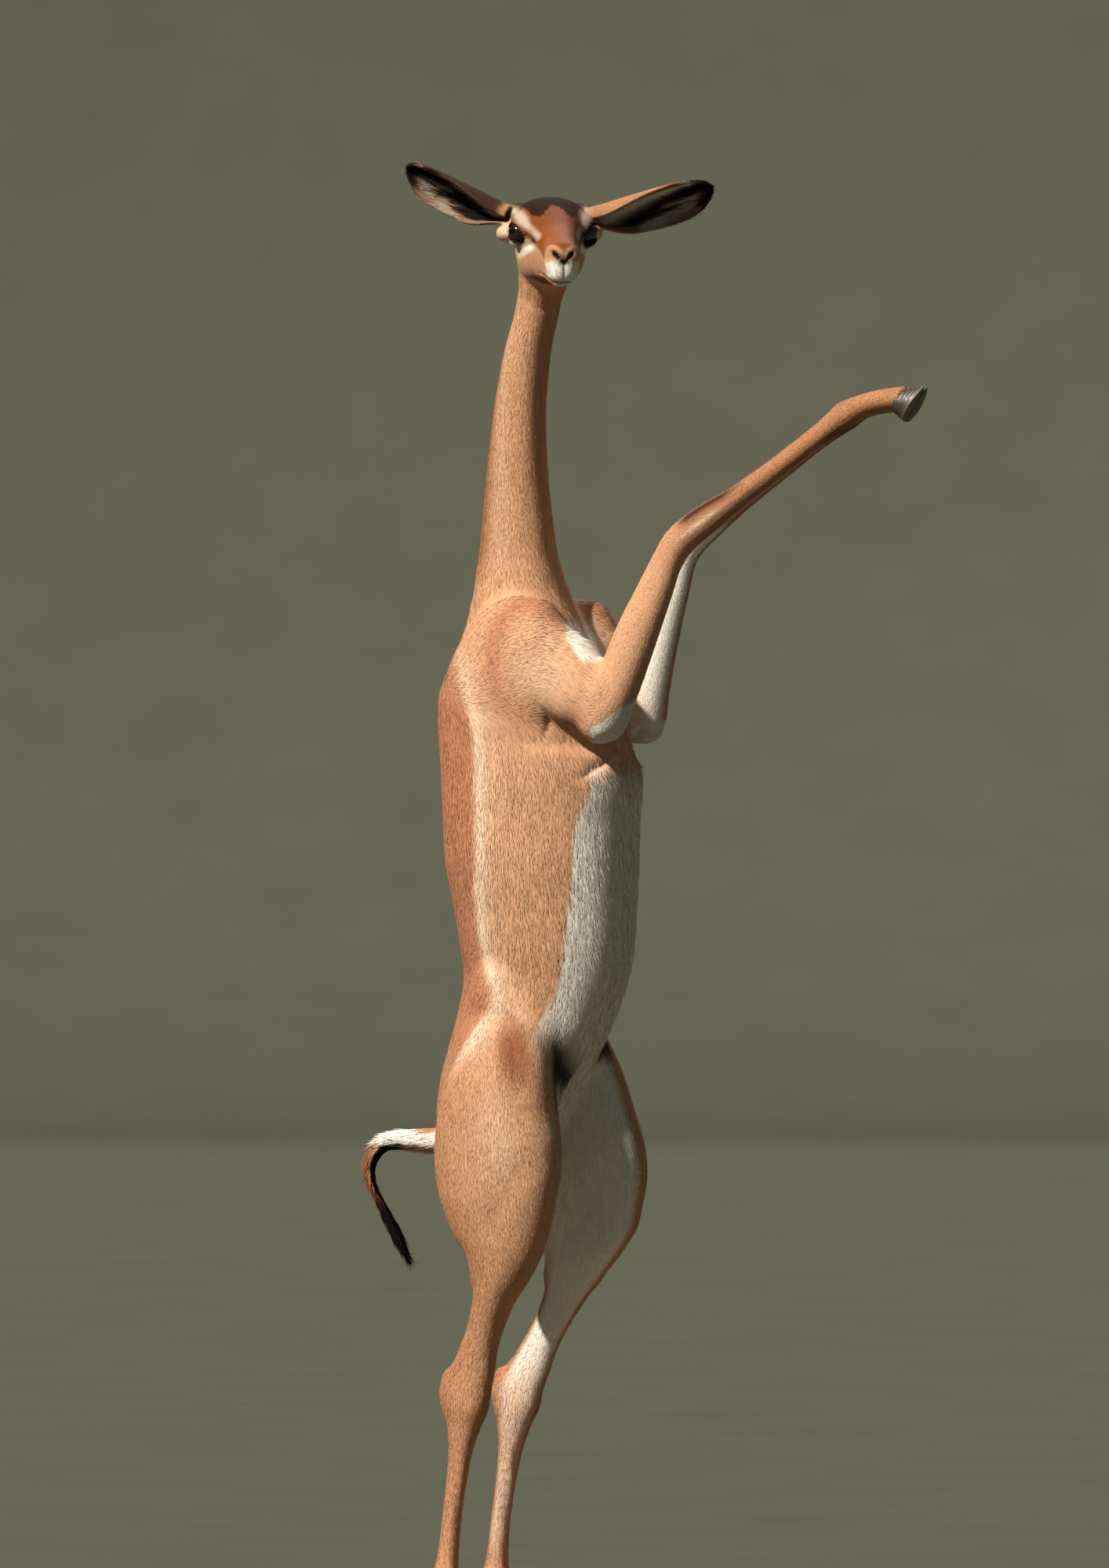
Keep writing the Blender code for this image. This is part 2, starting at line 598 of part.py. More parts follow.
def bone_cut(rows, row, side, ahead, size):
    """A cut square to a bone, at a row of its table; a fraction lies between two rows."""
    fine = spline(rows, 20 * (len(rows) - 1) + 1)
    fine[:, 0] += ahead_of(fine[:, 2], ahead)
    index = int(row * 20)
    here, there = (Vector(fine[i, :3] * (1, side, 1)) for i in (index, index + 1))
    return slab(here, there - here, size)


def level_cut(height, side, ahead, tilt, size):
    """A cut across a hind leg at a height, tipped forward by the tilt."""
    x, y = (np.interp(height, *np.array(HIND_LEG)[:, (0, i)].T) for i in (1, 2))
    return slab((x + ahead_of(height, ahead), side * y, height), (tilt, 0, 1), size)


def thigh_cut(side):
    """The cut between the rump and a thigh: it leans out and up from the crotch to the hip."""
    low, high = (Vector((THIGH_CUT_X, side * y, z)) for y, z in THIGH_CUT)
    run = high - low
    return slab((low + high) / 2, (0, run.z, -run.y), THIGH_CUT_DEEP, run.length / 2)


def hoof_cut(toe, tip_up, side, ahead):
    """The cut across a pastern, just above the crowns of its two claws."""
    place, across = crown(toe, tip_up, side, ahead)
    return slab(place + across * (CUT / 2 + CROWN_GAP), across, CROWN_CUT_SIZE)


def body_cuts():
    cuts = [slab(place, across, size) for place, across, size in PLAIN_CUTS]
    cuts += [bone_cut(TAIL, row, 1, None, size) for row, size in TAIL_CUTS]
    for side, fore, hind in SIDES:
        elbow = (ELBOW_CUT[0] + ahead_of(ELBOW_CUT[2], fore), side * ELBOW_CUT[1], ELBOW_CUT[2])
        cuts += [slab(elbow, ELBOW_ACROSS, *ELBOW_CUT_SIZE)]
        cuts += [bone_cut(FORELEG, row, side, fore, size) for row, size in FORELEG_CUTS]
        cuts += [level_cut(height, side, hind, tilt, size) for height, tilt, size in HIND_LEG_CUTS]
        cuts += [thigh_cut(side), hoof_cut(HIND_TOE, 0, side, hind), hoof_cut(FORE_TOE, FORE_TIP_UP, side, fore)]
    return cuts


def ear_cut(form):
    root, reach, _ = (np.array(v) for v in form)
    return slab(from_head(root + reach * EAR_CUT), np.array(reach) @ HEAD_AXES, EAR_CUT_SIZE)


def cut_away(piece, cutters):
    """Cut every cutter out of the piece, then remove the cutters."""
    for cutter in cutters:
        cut = piece.modifiers.new("cut", "BOOLEAN")
        cut.operation, cut.solver, cut.object = "DIFFERENCE", "EXACT", cutter
    baked(piece)
    for cutter in cutters:
        bpy.data.objects.remove(cutter)
    return piece


def kept_side(piece, place, across):
    """Keep what lies on one side of a flat cut, and close the cut."""
    data = bmesh.new()
    data.from_mesh(piece.data)
    geometry = data.verts[:] + data.edges[:] + data.faces[:]
    bmesh.ops.bisect_plane(data, geom=geometry, plane_co=place, plane_no=across, clear_inner=True, dist=1e-6)
    bmesh.ops.holes_fill(data, edges=[e for e in data.edges if e.is_boundary])
    data.to_mesh(piece.data)
    data.free()


def parted(piece, places):
    """Part a piece into its loose bodies. Each name takes the body nearest to its place, and what is left is spare."""
    data = bmesh.new()
    data.from_mesh(piece.data)
    bmesh.ops.triangulate(data, faces=data.faces)
    left, bodies = set(data.verts), []
    while left:
        body, edge = [], [left.pop()]
        while edge:
            vert = edge.pop()
            body.append(vert)
            near = {e.other_vert(vert) for e in vert.link_edges} & left
            left -= near
            edge += near
        bodies.append(sorted(body, key=lambda v: v.index))
    middles = [sum((v.co for v in body), Vector()) / len(body) for body in bodies]
    for name, place in places.items():
        nearest = min(range(len(bodies)), key=lambda i: (middles[i] - Vector(place)).length)
        order = {vert: i for i, vert in enumerate(bodies[nearest])}
        faces = [[order[v] for v in face.verts] for face in data.faces if face.verts[0] in order]
        mesh = bpy.data.meshes.new(name)
        mesh.from_pydata([v.co.copy() for v in order], [], faces)
        linked(name, mesh)
    data.free()
    bpy.data.objects.remove(piece)


def foot_frame(toe, tip_up, side, ahead):
    """A foot's toe, and its ways forward along the sole and up from it."""
    place = Vector((toe[0] + ahead_of(toe[2], ahead), side * toe[1], toe[2]))
    cos, sin = math.cos(tip_up), math.sin(tip_up)
    return place, Vector((cos, 0, sin)), Vector((-sin, 0, cos))


def crown(toe, tip_up, side, ahead):
    """The middle of the flat top of a hoof, and the way up from it."""
    place, forward, up = foot_frame(toe, tip_up, side, ahead)
    back, tall = CLAW_LENGTH * (0.5 + CROWN_BACK), CLAW_HEIGHT * (1 - CROWN_SLOPE / 2)
    across = up * CLAW_LENGTH * CROWN_LENGTH - forward * CLAW_HEIGHT * CROWN_SLOPE
    return place - forward * back + up * tall, across.normalized()


def claw(name, toe, tip_up, side, ahead, half):
    """One of a hoof's two claws: a ring at the sole, one half way and one at the crown, flat on the inner side."""
    place, forward, up = foot_frame(toe, tip_up, side, ahead)
    angle = np.linspace(0, 2 * np.pi, CLAW_SIDES, endpoint=False) + np.pi / CLAW_SIDES
    cos, sin = np.cos(angle), np.sin(angle)
    width = np.where(sin > 0, CLAW_WIDTH, CLAW_WIDTH * 0.10) * sin * (1 - 0.5 * ((1 + cos) / 2) ** 2)
    rings = []
    for rise in (0.0, 0.5, 1.0):
        length = CLAW_LENGTH * (1 + (CROWN_LENGTH - 1) * rise)
        x = cos * length / 2 - CLAW_LENGTH * (0.5 + CROWN_BACK * rise)
        y = half * (CLAW_APART + CLAW_WIDTH * 0.10 + width * (1 - 0.08 * rise))
        z = CLAW_HEIGHT * rise * (1 - CROWN_SLOPE * (1 - cos) / 2)
        rings.append(np.outer(x, forward) + np.outer(y, (0, 1, 0)) + np.outer(z, up) + place)
    return ringed(name, rings)


def ringed(name, rings):
    """A closed solid through rings of equal counts, with a flat end on the first and the last."""
    count = len(rings[0])
    data = bmesh.new()
    verts = [[data.verts.new(spot) for spot in ring] for ring in rings]
    for lower, upper in zip(verts, verts[1:]):
        for i in range(count):
            data.faces.new((lower[i - 1], lower[i], upper[i], upper[i - 1]))
    data.faces.new(verts[0])
    data.faces.new(verts[-1])
    bmesh.ops.recalc_face_normals(data, faces=data.faces)
    mesh = bpy.data.meshes.new(name)
    data.to_mesh(mesh)
    data.free()
    return linked(name, mesh)


def ball(name, side, radius):
    """An eye, or the cutter of its socket."""
    data = bmesh.new()
    place = Matrix.Translation(from_head(np.array(EYE_AT) * (1, side, 1)))
    bmesh.ops.create_uvsphere(data, u_segments=12, v_segments=8, radius=radius, matrix=place)
    mesh = bpy.data.meshes.new(name)
    data.to_mesh(mesh)
    data.free()
    return linked(name, mesh)


def base():
    """A flat plate with round corners and a small chamfer round its top."""
    half = np.array((BASE_LENGTH, BASE_WIDTH)) / 2 - BASE_CORNER
    angle = np.radians([90 * corner + 90 * step / 8 for corner in range(4) for step in range(9)])
    signs = np.repeat(((1, 1), (-1, 1), (-1, -1), (1, -1)), 9, axis=0)
    rings = []
    for inset, height in ((0, 0), (0, BASE_THICK - BASE_CHAMFER), (BASE_CHAMFER, BASE_THICK)):
        round_part = np.stack([np.cos(angle), np.sin(angle)], axis=1) * (BASE_CORNER - inset)
        flat = signs * half + round_part + (BASE_FORWARD, 0)
        rings.append(np.column_stack([flat, np.full(len(flat), height)]))
    return ringed("stand_base", rings)


def body_places():
    """The middle of each piece of the body, for its name."""
    places = dict(PLAIN_PLACES)
    for side, fore, hind in SIDES:
        word = "right" if side < 0 else "left"
        for limb, part, (x, y, z), ahead in (
            ("foreleg", "forearm", (0.295, 0.075, 1.300), fore),
            ("foreleg", "cannon", (0.450, 0.067, 1.490), fore),
            ("foreleg", "pastern", (0.596, 0.064, 1.582), fore),
            ("hindleg", "thigh", (0.078, 0.078, 0.640), hind),
            ("hindleg", "shank", (0.055, 0.069, 0.410), hind),
            ("hindleg", "cannon", (0.008, 0.058, 0.215), hind),
            ("hindleg", "pastern", (0.000, 0.060, 0.068), hind),
        ):
            places[f"{limb}_{word}_{part}"] = (x + ahead_of(z, ahead), side * y, z)
    return places


def finish(name):
    """The colour and roughness that a piece takes, by its name."""
    for word, key in (("stand", "base"), ("eye", "eye"), ("hoof", "hoof"), ("belly", "white"), ("tail_lower", "dark")):
        if word in name:
            return key
    return "tan"


def painted(piece):
    key = finish(piece.name)
    material = bpy.data.materials.get(key)
    if material is None:
        colour, rough = COLOURS[key]
        material = bpy.data.materials.new(key)
        material.use_nodes = True
        shader = material.node_tree.nodes["Principled BSDF"]
        shader.inputs["Base Color"].default_value = (*colour, 1)
        shader.inputs["Roughness"].default_value = rough
        shader.inputs["Metallic"].default_value = 0
    piece.data.materials.clear()
    piece.data.materials.append(material)


def main():
    for item in list(bpy.data.objects):
        bpy.data.objects.remove(item, do_unlink=True)

    nape, across = from_head(NAPE_AT), np.array(NAPE_ACROSS) @ HEAD_AXES
    body = flesh("body", body_field, *BODY_BOX, BODY_VOXEL, BODY_TRIANGLES)
    above = slab(nape + across * (NAPE_ROOM - CUT / 2), across, NAPE_ROOM, thick=2 * NAPE_ROOM)
    parted(cut_away(body, [above, *body_cuts()]), body_places())

    head = flesh("whole_head", head_field, *HEAD_BOX, HEAD_VOXEL, HEAD_TRIANGLES)
    kept_side(head, nape + across * CUT / 2, across)
    cutters = [ear_cut(EAR_RIGHT), ear_cut(EAR_LEFT)]
    cutters += [ball("cutter", side, EYE_RADIUS + EYE_CLEAR) for side in (-1, 1)]
    places = {"head": HEAD_AT}
    places |= {name: from_head(np.add(form[0], np.multiply(form[1], 0.6)))
               for name, form in (("ear_right", EAR_RIGHT), ("ear_left", EAR_LEFT))}
    parted(cut_away(head, cutters), places)

    for side, fore, hind in SIDES:
        word = "right" if side < 0 else "left"
        ball(f"eye_{word}", side, EYE_RADIUS)
        for half, place in ((-side, "inner"), (side, "outer")):
            claw(f"hoof_fore_{word}_{place}", FORE_TOE, FORE_TIP_UP, side, fore, half)
            claw(f"hoof_hind_{word}_{place}", HIND_TOE, 0, side, hind, half)
    for piece in bpy.data.objects:
        piece.data.transform(Matrix.Translation((0, 0, LIFT)))
    base()
    for piece in bpy.data.objects:
        painted(piece)


main()
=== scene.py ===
"""The look of a gerenuk that stands upright on its hind legs.

One skin stands for all the flesh. It is drawn from rounded limbs, like the solids, but lies inside them by
the depth of the coat. Small tufts cover it and follow the lie of the hair. Each point of skin and each tuft
knows which limb it is on, how far along it and at what angle round it, and the markings are worked out from
that. Heights in the tables are above the soles of the hind hooves, in metres; finished pieces are lifted
onto the base.
"""

import math

import bmesh
import bpy
import numpy as np
from mathutils import Matrix, Vector


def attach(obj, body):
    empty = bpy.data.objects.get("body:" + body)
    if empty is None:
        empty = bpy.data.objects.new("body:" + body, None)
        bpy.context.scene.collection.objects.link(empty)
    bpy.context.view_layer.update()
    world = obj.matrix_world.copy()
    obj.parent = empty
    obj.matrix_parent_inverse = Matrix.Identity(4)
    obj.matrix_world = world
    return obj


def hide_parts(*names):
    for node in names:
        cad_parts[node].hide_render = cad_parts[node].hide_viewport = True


LIFT = np.array((0, 0, 0.0223))

# The head's place and aim. In its own frame U is forward along the face, V is its left and W is up.
HEAD_AT = np.array((0.146, -0.063, 1.805))
HEAD_TURN, HEAD_NOD = math.radians(-55), math.radians(1.5)
HEAD_AXES = np.array(Matrix.Rotation(HEAD_TURN, 3, "Z") @ Matrix.Rotation(-HEAD_NOD, 3, "Y")).T
EYE_AT, EYE_RADIUS = np.array((0.004, 0.0405, 0.000)), 0.0158
# The opening of the lids: middle, half sizes, slope towards the nose, and where and how far that acts.
EYE_SLOT, EYE_SLOT_SIZE = np.array((0.0145, 0.0560, 0.0000)), np.array((0.0158, 0.0195, 0.0104))
EYE_SLOPE, EYE_SLOPE_IN, EYE_SLOPE_REACH = 0.55, 0.006, 0.012
# How far the face is sloped down for each metre ahead of the eyes.
FACE_DROP = 0.070

# Level slices: height, forward, sideways, half depth, half width, turn in degrees.
TRUNK = (
    (0.605, 0.022, 0, 0.040, 0.044, 0),
    (0.640, 0.022, 0, 0.062, 0.060, 0),
    (0.680, 0.034, 0, 0.081, 0.070, 0),
    (0.725, 0.053, 0, 0.095, 0.075, 0),
    (0.770, 0.074, 0, 0.104, 0.076, 0),
    (0.815, 0.092, 0, 0.109, 0.074, 0),
    (0.860, 0.104, 0, 0.113, 0.078, 0),
    (0.905, 0.105, 0, 0.119, 0.085, 0),
    (0.955, 0.102, 0, 0.125, 0.090, 0),
    (1.005, 0.098, 0, 0.131, 0.094, 0),
    (1.060, 0.097, 0, 0.134, 0.094, 0),
    (1.115, 0.097, 0, 0.137, 0.093, 0),
    (1.165, 0.087, 0, 0.131, 0.088, 0),
    (1.195, 0.080, 0, 0.125, 0.083, 0),
    (1.225, 0.078, 0, 0.117, 0.078, 0),
    (1.265, 0.077, 0, 0.100, 0.070, 0),
    (1.305, 0.0745, 0, 0.082, 0.061, 0),
)
NECK = (
    (1.330, 0.0710, 0.000, 0.0720, 0.0560, 0),
    (1.353, 0.0680, 0.000, 0.0640, 0.0515, 0),
    (1.378, 0.0652, 0.000, 0.0580, 0.0470, 0),
    (1.405, 0.0635, 0.000, 0.0525, 0.0430, 0),
    (1.465, 0.0620, 0.000, 0.0455, 0.0380, 0),
    (1.505, 0.0620, 0.000, 0.0420, 0.0360, -4),
    (1.545, 0.0635, 0.000, 0.0385, 0.0340, -9),
    (1.585, 0.0660, 0.000, 0.0365, 0.0320, -15),
    (1.625, 0.0710, 0.001, 0.0350, 0.0310, -24),
    (1.665, 0.0780, 0.002, 0.0340, 0.0300, -34),
    (1.705, 0.0885, 0.003, 0.0340, 0.0295, -45),
    (1.740, 0.0960, 0.001, 0.0350, 0.0300, -53),
    (1.775, 0.1030, -0.004, 0.0360, 0.0310, -55),
)
HIND_LEG = (
    (0.083, -0.010, 0.060, 0.0200, 0.0172, 0),
    (0.100, -0.009, 0.060, 0.0178, 0.0155, 0),
    (0.125, -0.006, 0.059, 0.0150, 0.0132, 0),
    (0.170, -0.001, 0.058, 0.0142, 0.0125, 0),
    (0.215, 0.005, 0.058, 0.0145, 0.0125, 0),
    (0.255, 0.011, 0.058, 0.0172, 0.0140, 0),
    (0.285, 0.016, 0.058, 0.0235, 0.0170, 0),
    (0.310, 0.021, 0.059, 0.0300, 0.0200, 0),
    (0.335, 0.024, 0.060, 0.0325, 0.0195, 0),
    (0.358, 0.030, 0.062, 0.0325, 0.0180, 0),
    (0.385, 0.040, 0.065, 0.0285, 0.0180, 0),
    (0.415, 0.053, 0.068, 0.0265, 0.0200, 0),
    (0.448, 0.067, 0.073, 0.0310, 0.0235, 0),
    (0.475, 0.078, 0.076, 0.0410, 0.0280, 0),
    (0.505, 0.084, 0.078, 0.0530, 0.0330, 0),
    (0.537, 0.081, 0.080, 0.0690, 0.0370, 0),
    (0.575, 0.078, 0.081, 0.0810, 0.0430, 0),
    (0.612, 0.077, 0.079, 0.0880, 0.0480, 0),
    (0.650, 0.075, 0.076, 0.0880, 0.0520, 0),
    (0.690, 0.073, 0.072, 0.0810, 0.0540, 0),
    (0.735, 0.073, 0.068, 0.0720, 0.0520, 0),
    (0.780, 0.074, 0.059, 0.0610, 0.0440, 0),
    (0.815, 0.075, 0.049, 0.0500, 0.0350, 0),
    (0.850, 0.080, 0.038, 0.0400, 0.0260, 0),
)
# How much further forward the left limbs stand than the right ones, by height.
LEFT_HIND_AHEAD = (
    (0.080, 0.008), (0.330, 0.011), (0.370, 0.015), (0.420, 0.022), (0.485, 0.025), (0.540, 0.040),
    (0.600, 0.040), (0.670, 0.037), (0.740, 0.028), (0.815, 0.012),
)
LEFT_FORE_AHEAD = (
    (1.15, -0.026), (1.192, -0.029), (1.22, -0.037), (1.248, -0.043), (1.284, -0.048), (1.324, -0.052),
    (1.38, -0.055), (1.44, -0.061), (1.62, -0.066),
)
LEFT_ARM_AHEAD = ((1.0, -0.038), (1.4, -0.038))

# Bones as curves: forward, sideways, height, half depth in the upright plane, half width.
SHOULDER = (
    (0.010, 0.036, 1.200, 0.036, 0.018),
    (0.045, 0.050, 1.240, 0.052, 0.026),
    (0.090, 0.062, 1.285, 0.055, 0.030),
    (0.135, 0.068, 1.300, 0.043, 0.030),
)
UPPER_ARM = (
    (0.050, 0.050, 1.195, 0.070, 0.026),
    (0.105, 0.062, 1.235, 0.066, 0.032),
    (0.160, 0.070, 1.245, 0.060, 0.036),
    (0.198, 0.077, 1.218, 0.048, 0.034),
    (0.227, 0.080, 1.192, 0.034, 0.026),
)
FORELEG = (
    (0.228, 0.080, 1.178, 0.0270, 0.0235),
    (0.237, 0.080, 1.203, 0.0295, 0.0255),
    (0.253, 0.078, 1.243, 0.0305, 0.0245),
    (0.2745, 0.076, 1.296, 0.0290, 0.0220),
    (0.2985, 0.073, 1.350, 0.0245, 0.0188),
    (0.3140, 0.071, 1.385, 0.0212, 0.0172),
    (0.3330, 0.070, 1.413, 0.0216, 0.0182),
    (0.3690, 0.069, 1.440, 0.0202, 0.0172),
    (0.408, 0.068, 1.465, 0.0158, 0.0142),
    (0.460, 0.067, 1.499, 0.0140, 0.0120),
    (0.520, 0.066, 1.540, 0.0140, 0.0120),
    (0.548, 0.065, 1.559, 0.0160, 0.0145),
    (0.566, 0.065, 1.571, 0.0180, 0.0160),
    (0.590, 0.065, 1.582, 0.0150, 0.0150),
    (0.616, 0.064, 1.588, 0.0150, 0.0160),
    (0.645, 0.064, 1.591, 0.0158, 0.0166),
)
HIND_PASTERN = (
    (-0.009, 0.060, 0.090, 0.0195, 0.0172),
    (-0.003, 0.060, 0.070, 0.0160, 0.0160),
    (0.008, 0.060, 0.047, 0.0155, 0.0162),
    (0.020, 0.060, 0.028, 0.0158, 0.0166),
)
TAIL = (
    (-0.020, 0, 0.655, 0.0200, 0.0210),
    (-0.050, 0, 0.651, 0.0180, 0.0200),
    (-0.078, 0, 0.650, 0.0155, 0.0178),
    (-0.106, 0, 0.650, 0.0130, 0.0152),
    (-0.128, 0, 0.646, 0.0115, 0.0130),
    (-0.143, 0, 0.633, 0.0095, 0.0110),
    (-0.1495, 0, 0.616, 0.0074, 0.0088),
    (-0.1485, 0, 0.600, 0.0062, 0.0074),
    (-0.143, 0, 0.584, 0.0057, 0.0068),
    (-0.134, 0, 0.567, 0.0058, 0.0068),
    (-0.124, 0, 0.549, 0.0064, 0.0076),
    (-0.114, 0, 0.531, 0.0068, 0.0080),
    (-0.104, 0, 0.513, 0.0058, 0.0066),
    (-0.099, 0, 0.504, 0.0042, 0.0046),
)
HIP_BONE, HIP_BONE_SIZE = (0.060, 0.066, 0.838), (0.018, 0.014, 0.026)
HOCK_TIP, HOCK_TIP_SIZE = (-0.003, 0.060, 0.330), (0.0105, 0.0105, 0.028)
NAPE, NAPE_SIZE = (-0.062, 0, -0.036), (0.030, 0.026, 0.044)
# Slices across the head: forward, half width, top, bottom.
HEAD = (
    (-0.092, 0.0240, 0.0100, -0.0280),
    (-0.080, 0.0350, 0.0260, -0.0440),
    (-0.062, 0.0420, 0.0400, -0.0560),
    (-0.040, 0.0460, 0.0465, -0.0630),
    (-0.018, 0.0470, 0.0470, -0.0660),
    (0.004, 0.0440, 0.0410, -0.0665),
    (0.022, 0.0385, 0.0320, -0.0665),
    (0.042, 0.0320, 0.0215, -0.0665),
    (0.062, 0.0270, 0.0110, -0.0665),
    (0.082, 0.0238, 0.0015, -0.0668),
    (0.098, 0.0226, -0.0060, -0.0655),
    (0.106, 0.0212, -0.0092, -0.0630),
    (0.1115, 0.0182, -0.0130, -0.0600),
    (0.1155, 0.0125, -0.0190, -0.0550),
)
HEAD_END, HEAD_TAPER, HEAD_POWER = 0.004, 0.17, 2.35
# Rounded masses on each side of the head: place, half sizes, and how wide they melt in.
HEAD_MASSES = (
    ((0.000, 0.0360, 0.0050), (0.0270, 0.0195, 0.0200), 0.010),
    ((-0.018, 0.0230, -0.0320), (0.0340, 0.0150, 0.0260), 0.014),
    ((-0.042, 0.0400, 0.0180), (0.0190, 0.0150, 0.0220), 0.012),
    ((-0.030, 0.0510, 0.0010), (0.0170, 0.0175, 0.0125), 0.008),
)
# Each ear: its root, the way from root to tip, and the way its hollow faces, in the head's frame.
EAR_RIGHT = ((-0.040, -0.047, 0.031), (-0.075, -0.1235, 0.055), (0.53, -0.59, -0.61))
EAR_LEFT = ((-0.040, 0.047, 0.027), (-0.015, 0.164, 0.032), (0.74, 0.10, -0.62))
# Along an ear: share of its length, half its width round the curve, and the angle that it curls through.
EAR_FORM = (
    (0.00, 0.0270, 5.0),
    (0.12, 0.0330, 4.4),
    (0.28, 0.0385, 3.3),
    (0.45, 0.0385, 2.45),
    (0.62, 0.0370, 1.95),
    (0.78, 0.0325, 1.65),
    (0.90, 0.0250, 1.50),
    (0.97, 0.0140, 1.40),
    (1.00, 0.0060, 1.40),
)
EAR_THICK = 0.0048
# What an ear adds to the place across it on the hollow's side.
HOLLOW_SIDE = 4
# Points further to the left than this belong to the left limbs.
LEFT_FROM = 0.02

# The depth of the coat on each limb, by which the skin lies inside the solids.
COAT = {
    "trunk": 0.0028, "arm": 0.0024, "foreleg": 0.0013, "hindleg": 0.0018,
    "tail": 0.0022, "head": 0.0010, "ear": 0.0006,
}
BODY_VOXEL, HEAD_VOXEL, SKIN_TRIANGLES = 0.0042, 0.0015, 190_000
BODY_BOX = (-0.19, -0.15, 0.01), (0.70, 0.15, 1.72)
HEAD_BOX = (-0.10, -0.22, 1.68), (0.32, 0.15, 1.92)
NECK_JOIN, JOIN_GAP = 1.700, 0.003
EMPTY, REACH = 0.5, 0.07


def spline(rows, count):
    """Read the rows at `count` even steps of a Catmull-Rom curve through them, column by column."""
    rows = np.asarray(rows, float)
    steps = np.linspace(0, len(rows) - 1, count)
    first = np.minimum(steps.astype(int), len(rows) - 2)
    share = (steps - first)[:, None]
    before = rows[np.maximum(first - 1, 0)]
    start, end = rows[first], rows[first + 1]
    after = rows[np.minimum(first + 2, len(rows) - 1)]
    return 0.5 * (
        2 * start
        + (end - before) * share
        + (2 * before - 5 * start + 4 * end - after) * share**2
        + (3 * start - before - 3 * end + after) * share**3
    )


def melt(a, b, width):
    """The union of two shapes, rounded where they meet over `width`."""
    share = np.clip(0.5 + 0.5 * (b - a) / width, 0, 1)
    return b + (a - b) * share - width * share * (1 - share)


def scoop(a, b, width):
    """Shape a with shape b taken away, rounded over `width`."""
    return -melt(-a, b, width)


def oval(offset, radii, power=2.0):
    """The distance from the centre, less the radius in that direction, of an egg or a squarer oval."""
    far = np.linalg.norm(offset, axis=1) + 1e-9
    ratio = (np.abs(offset / radii) ** power).sum(axis=1) ** (1 / power) + 1e-9
    return far - far / ratio


def rise(x, low, high):
    """0 below `low`, 1 above `high`, and a smooth S between them."""
    t = np.clip((x - low) / (high - low), 0, 1)
    return t * t * (3 - 2 * t)


def fall(x, low, high):
    """1 below `low`, 0 above `high`, and a smooth S between them."""
    return 1 - rise(x, low, high)


def bell(x, width):
    """1 at zero, falling away to both sides over `width`."""
    return np.exp(-((x / width) ** 2))


def unit(v):
    return v / (np.linalg.norm(v, axis=-1, keepdims=True) + 1e-12)


def ahead_of(heights, table):
    """How far forward a left limb is shifted at each height."""
    return np.interp(heights, *zip(*table)) if table else 0.0


def from_head(q):
    """A place in the head's frame as a place in the model."""
    return np.asarray(q, float) @ HEAD_AXES + HEAD_AT


def to_head(p):
    return (p - HEAD_AT) @ HEAD_AXES.T


def to_face(p):
    """A place in the head's frame, with the slope of the face taken out."""
    q = to_head(p)
    q[:, 2] += FACE_DROP * np.maximum(q[:, 0], 0)
    return q


def eye_slot(q, side):
    """Places seen from the middle of an eye's opening, sloped down to the nose; side 0 is both eyes."""
    out = np.abs(q[:, 1]) if side == 0 else side * q[:, 1]
    slope = EYE_SLOPE * np.clip(EYE_SLOT[1] - EYE_SLOPE_IN - out, -EYE_SLOPE_REACH, EYE_SLOPE_REACH)
    return np.column_stack([q[:, 0], out, q[:, 2] + slope]) - EYE_SLOT


class Limb:
    """A rounded limb. value is how far outside it each point lies, and lay is how far along and round it."""

    coat = 0.0

    def near(self, p):
        return ((p > self.low) & (p < self.high)).all(axis=1)

    def room(self, spots, radius):
        self.low, self.high = spots.min(axis=0) - radius - REACH, spots.max(axis=0) + radius + REACH

    def value(self, p):
        """The shape, set in by the coat, for points near it; EMPTY for the others."""
        found, inside = np.full(len(p), EMPTY), self.near(p)
        found[inside] = self.shape(p[inside]) + self.coat
        return found

    def lay(self, p):
        """For each point: its value, place along the limb, angle round it and the way that its hair lies."""
        inside = self.near(p)
        down = np.tile((0.0, 0.0, -1.0), (len(p), 1))
        found = np.full(len(p), EMPTY), np.zeros(len(p)), np.zeros(len(p)), down
        for whole, part in zip(found, (self.shape(p[inside]) + self.coat, *self.place(p[inside]))):
            whole[inside] = part
        return found


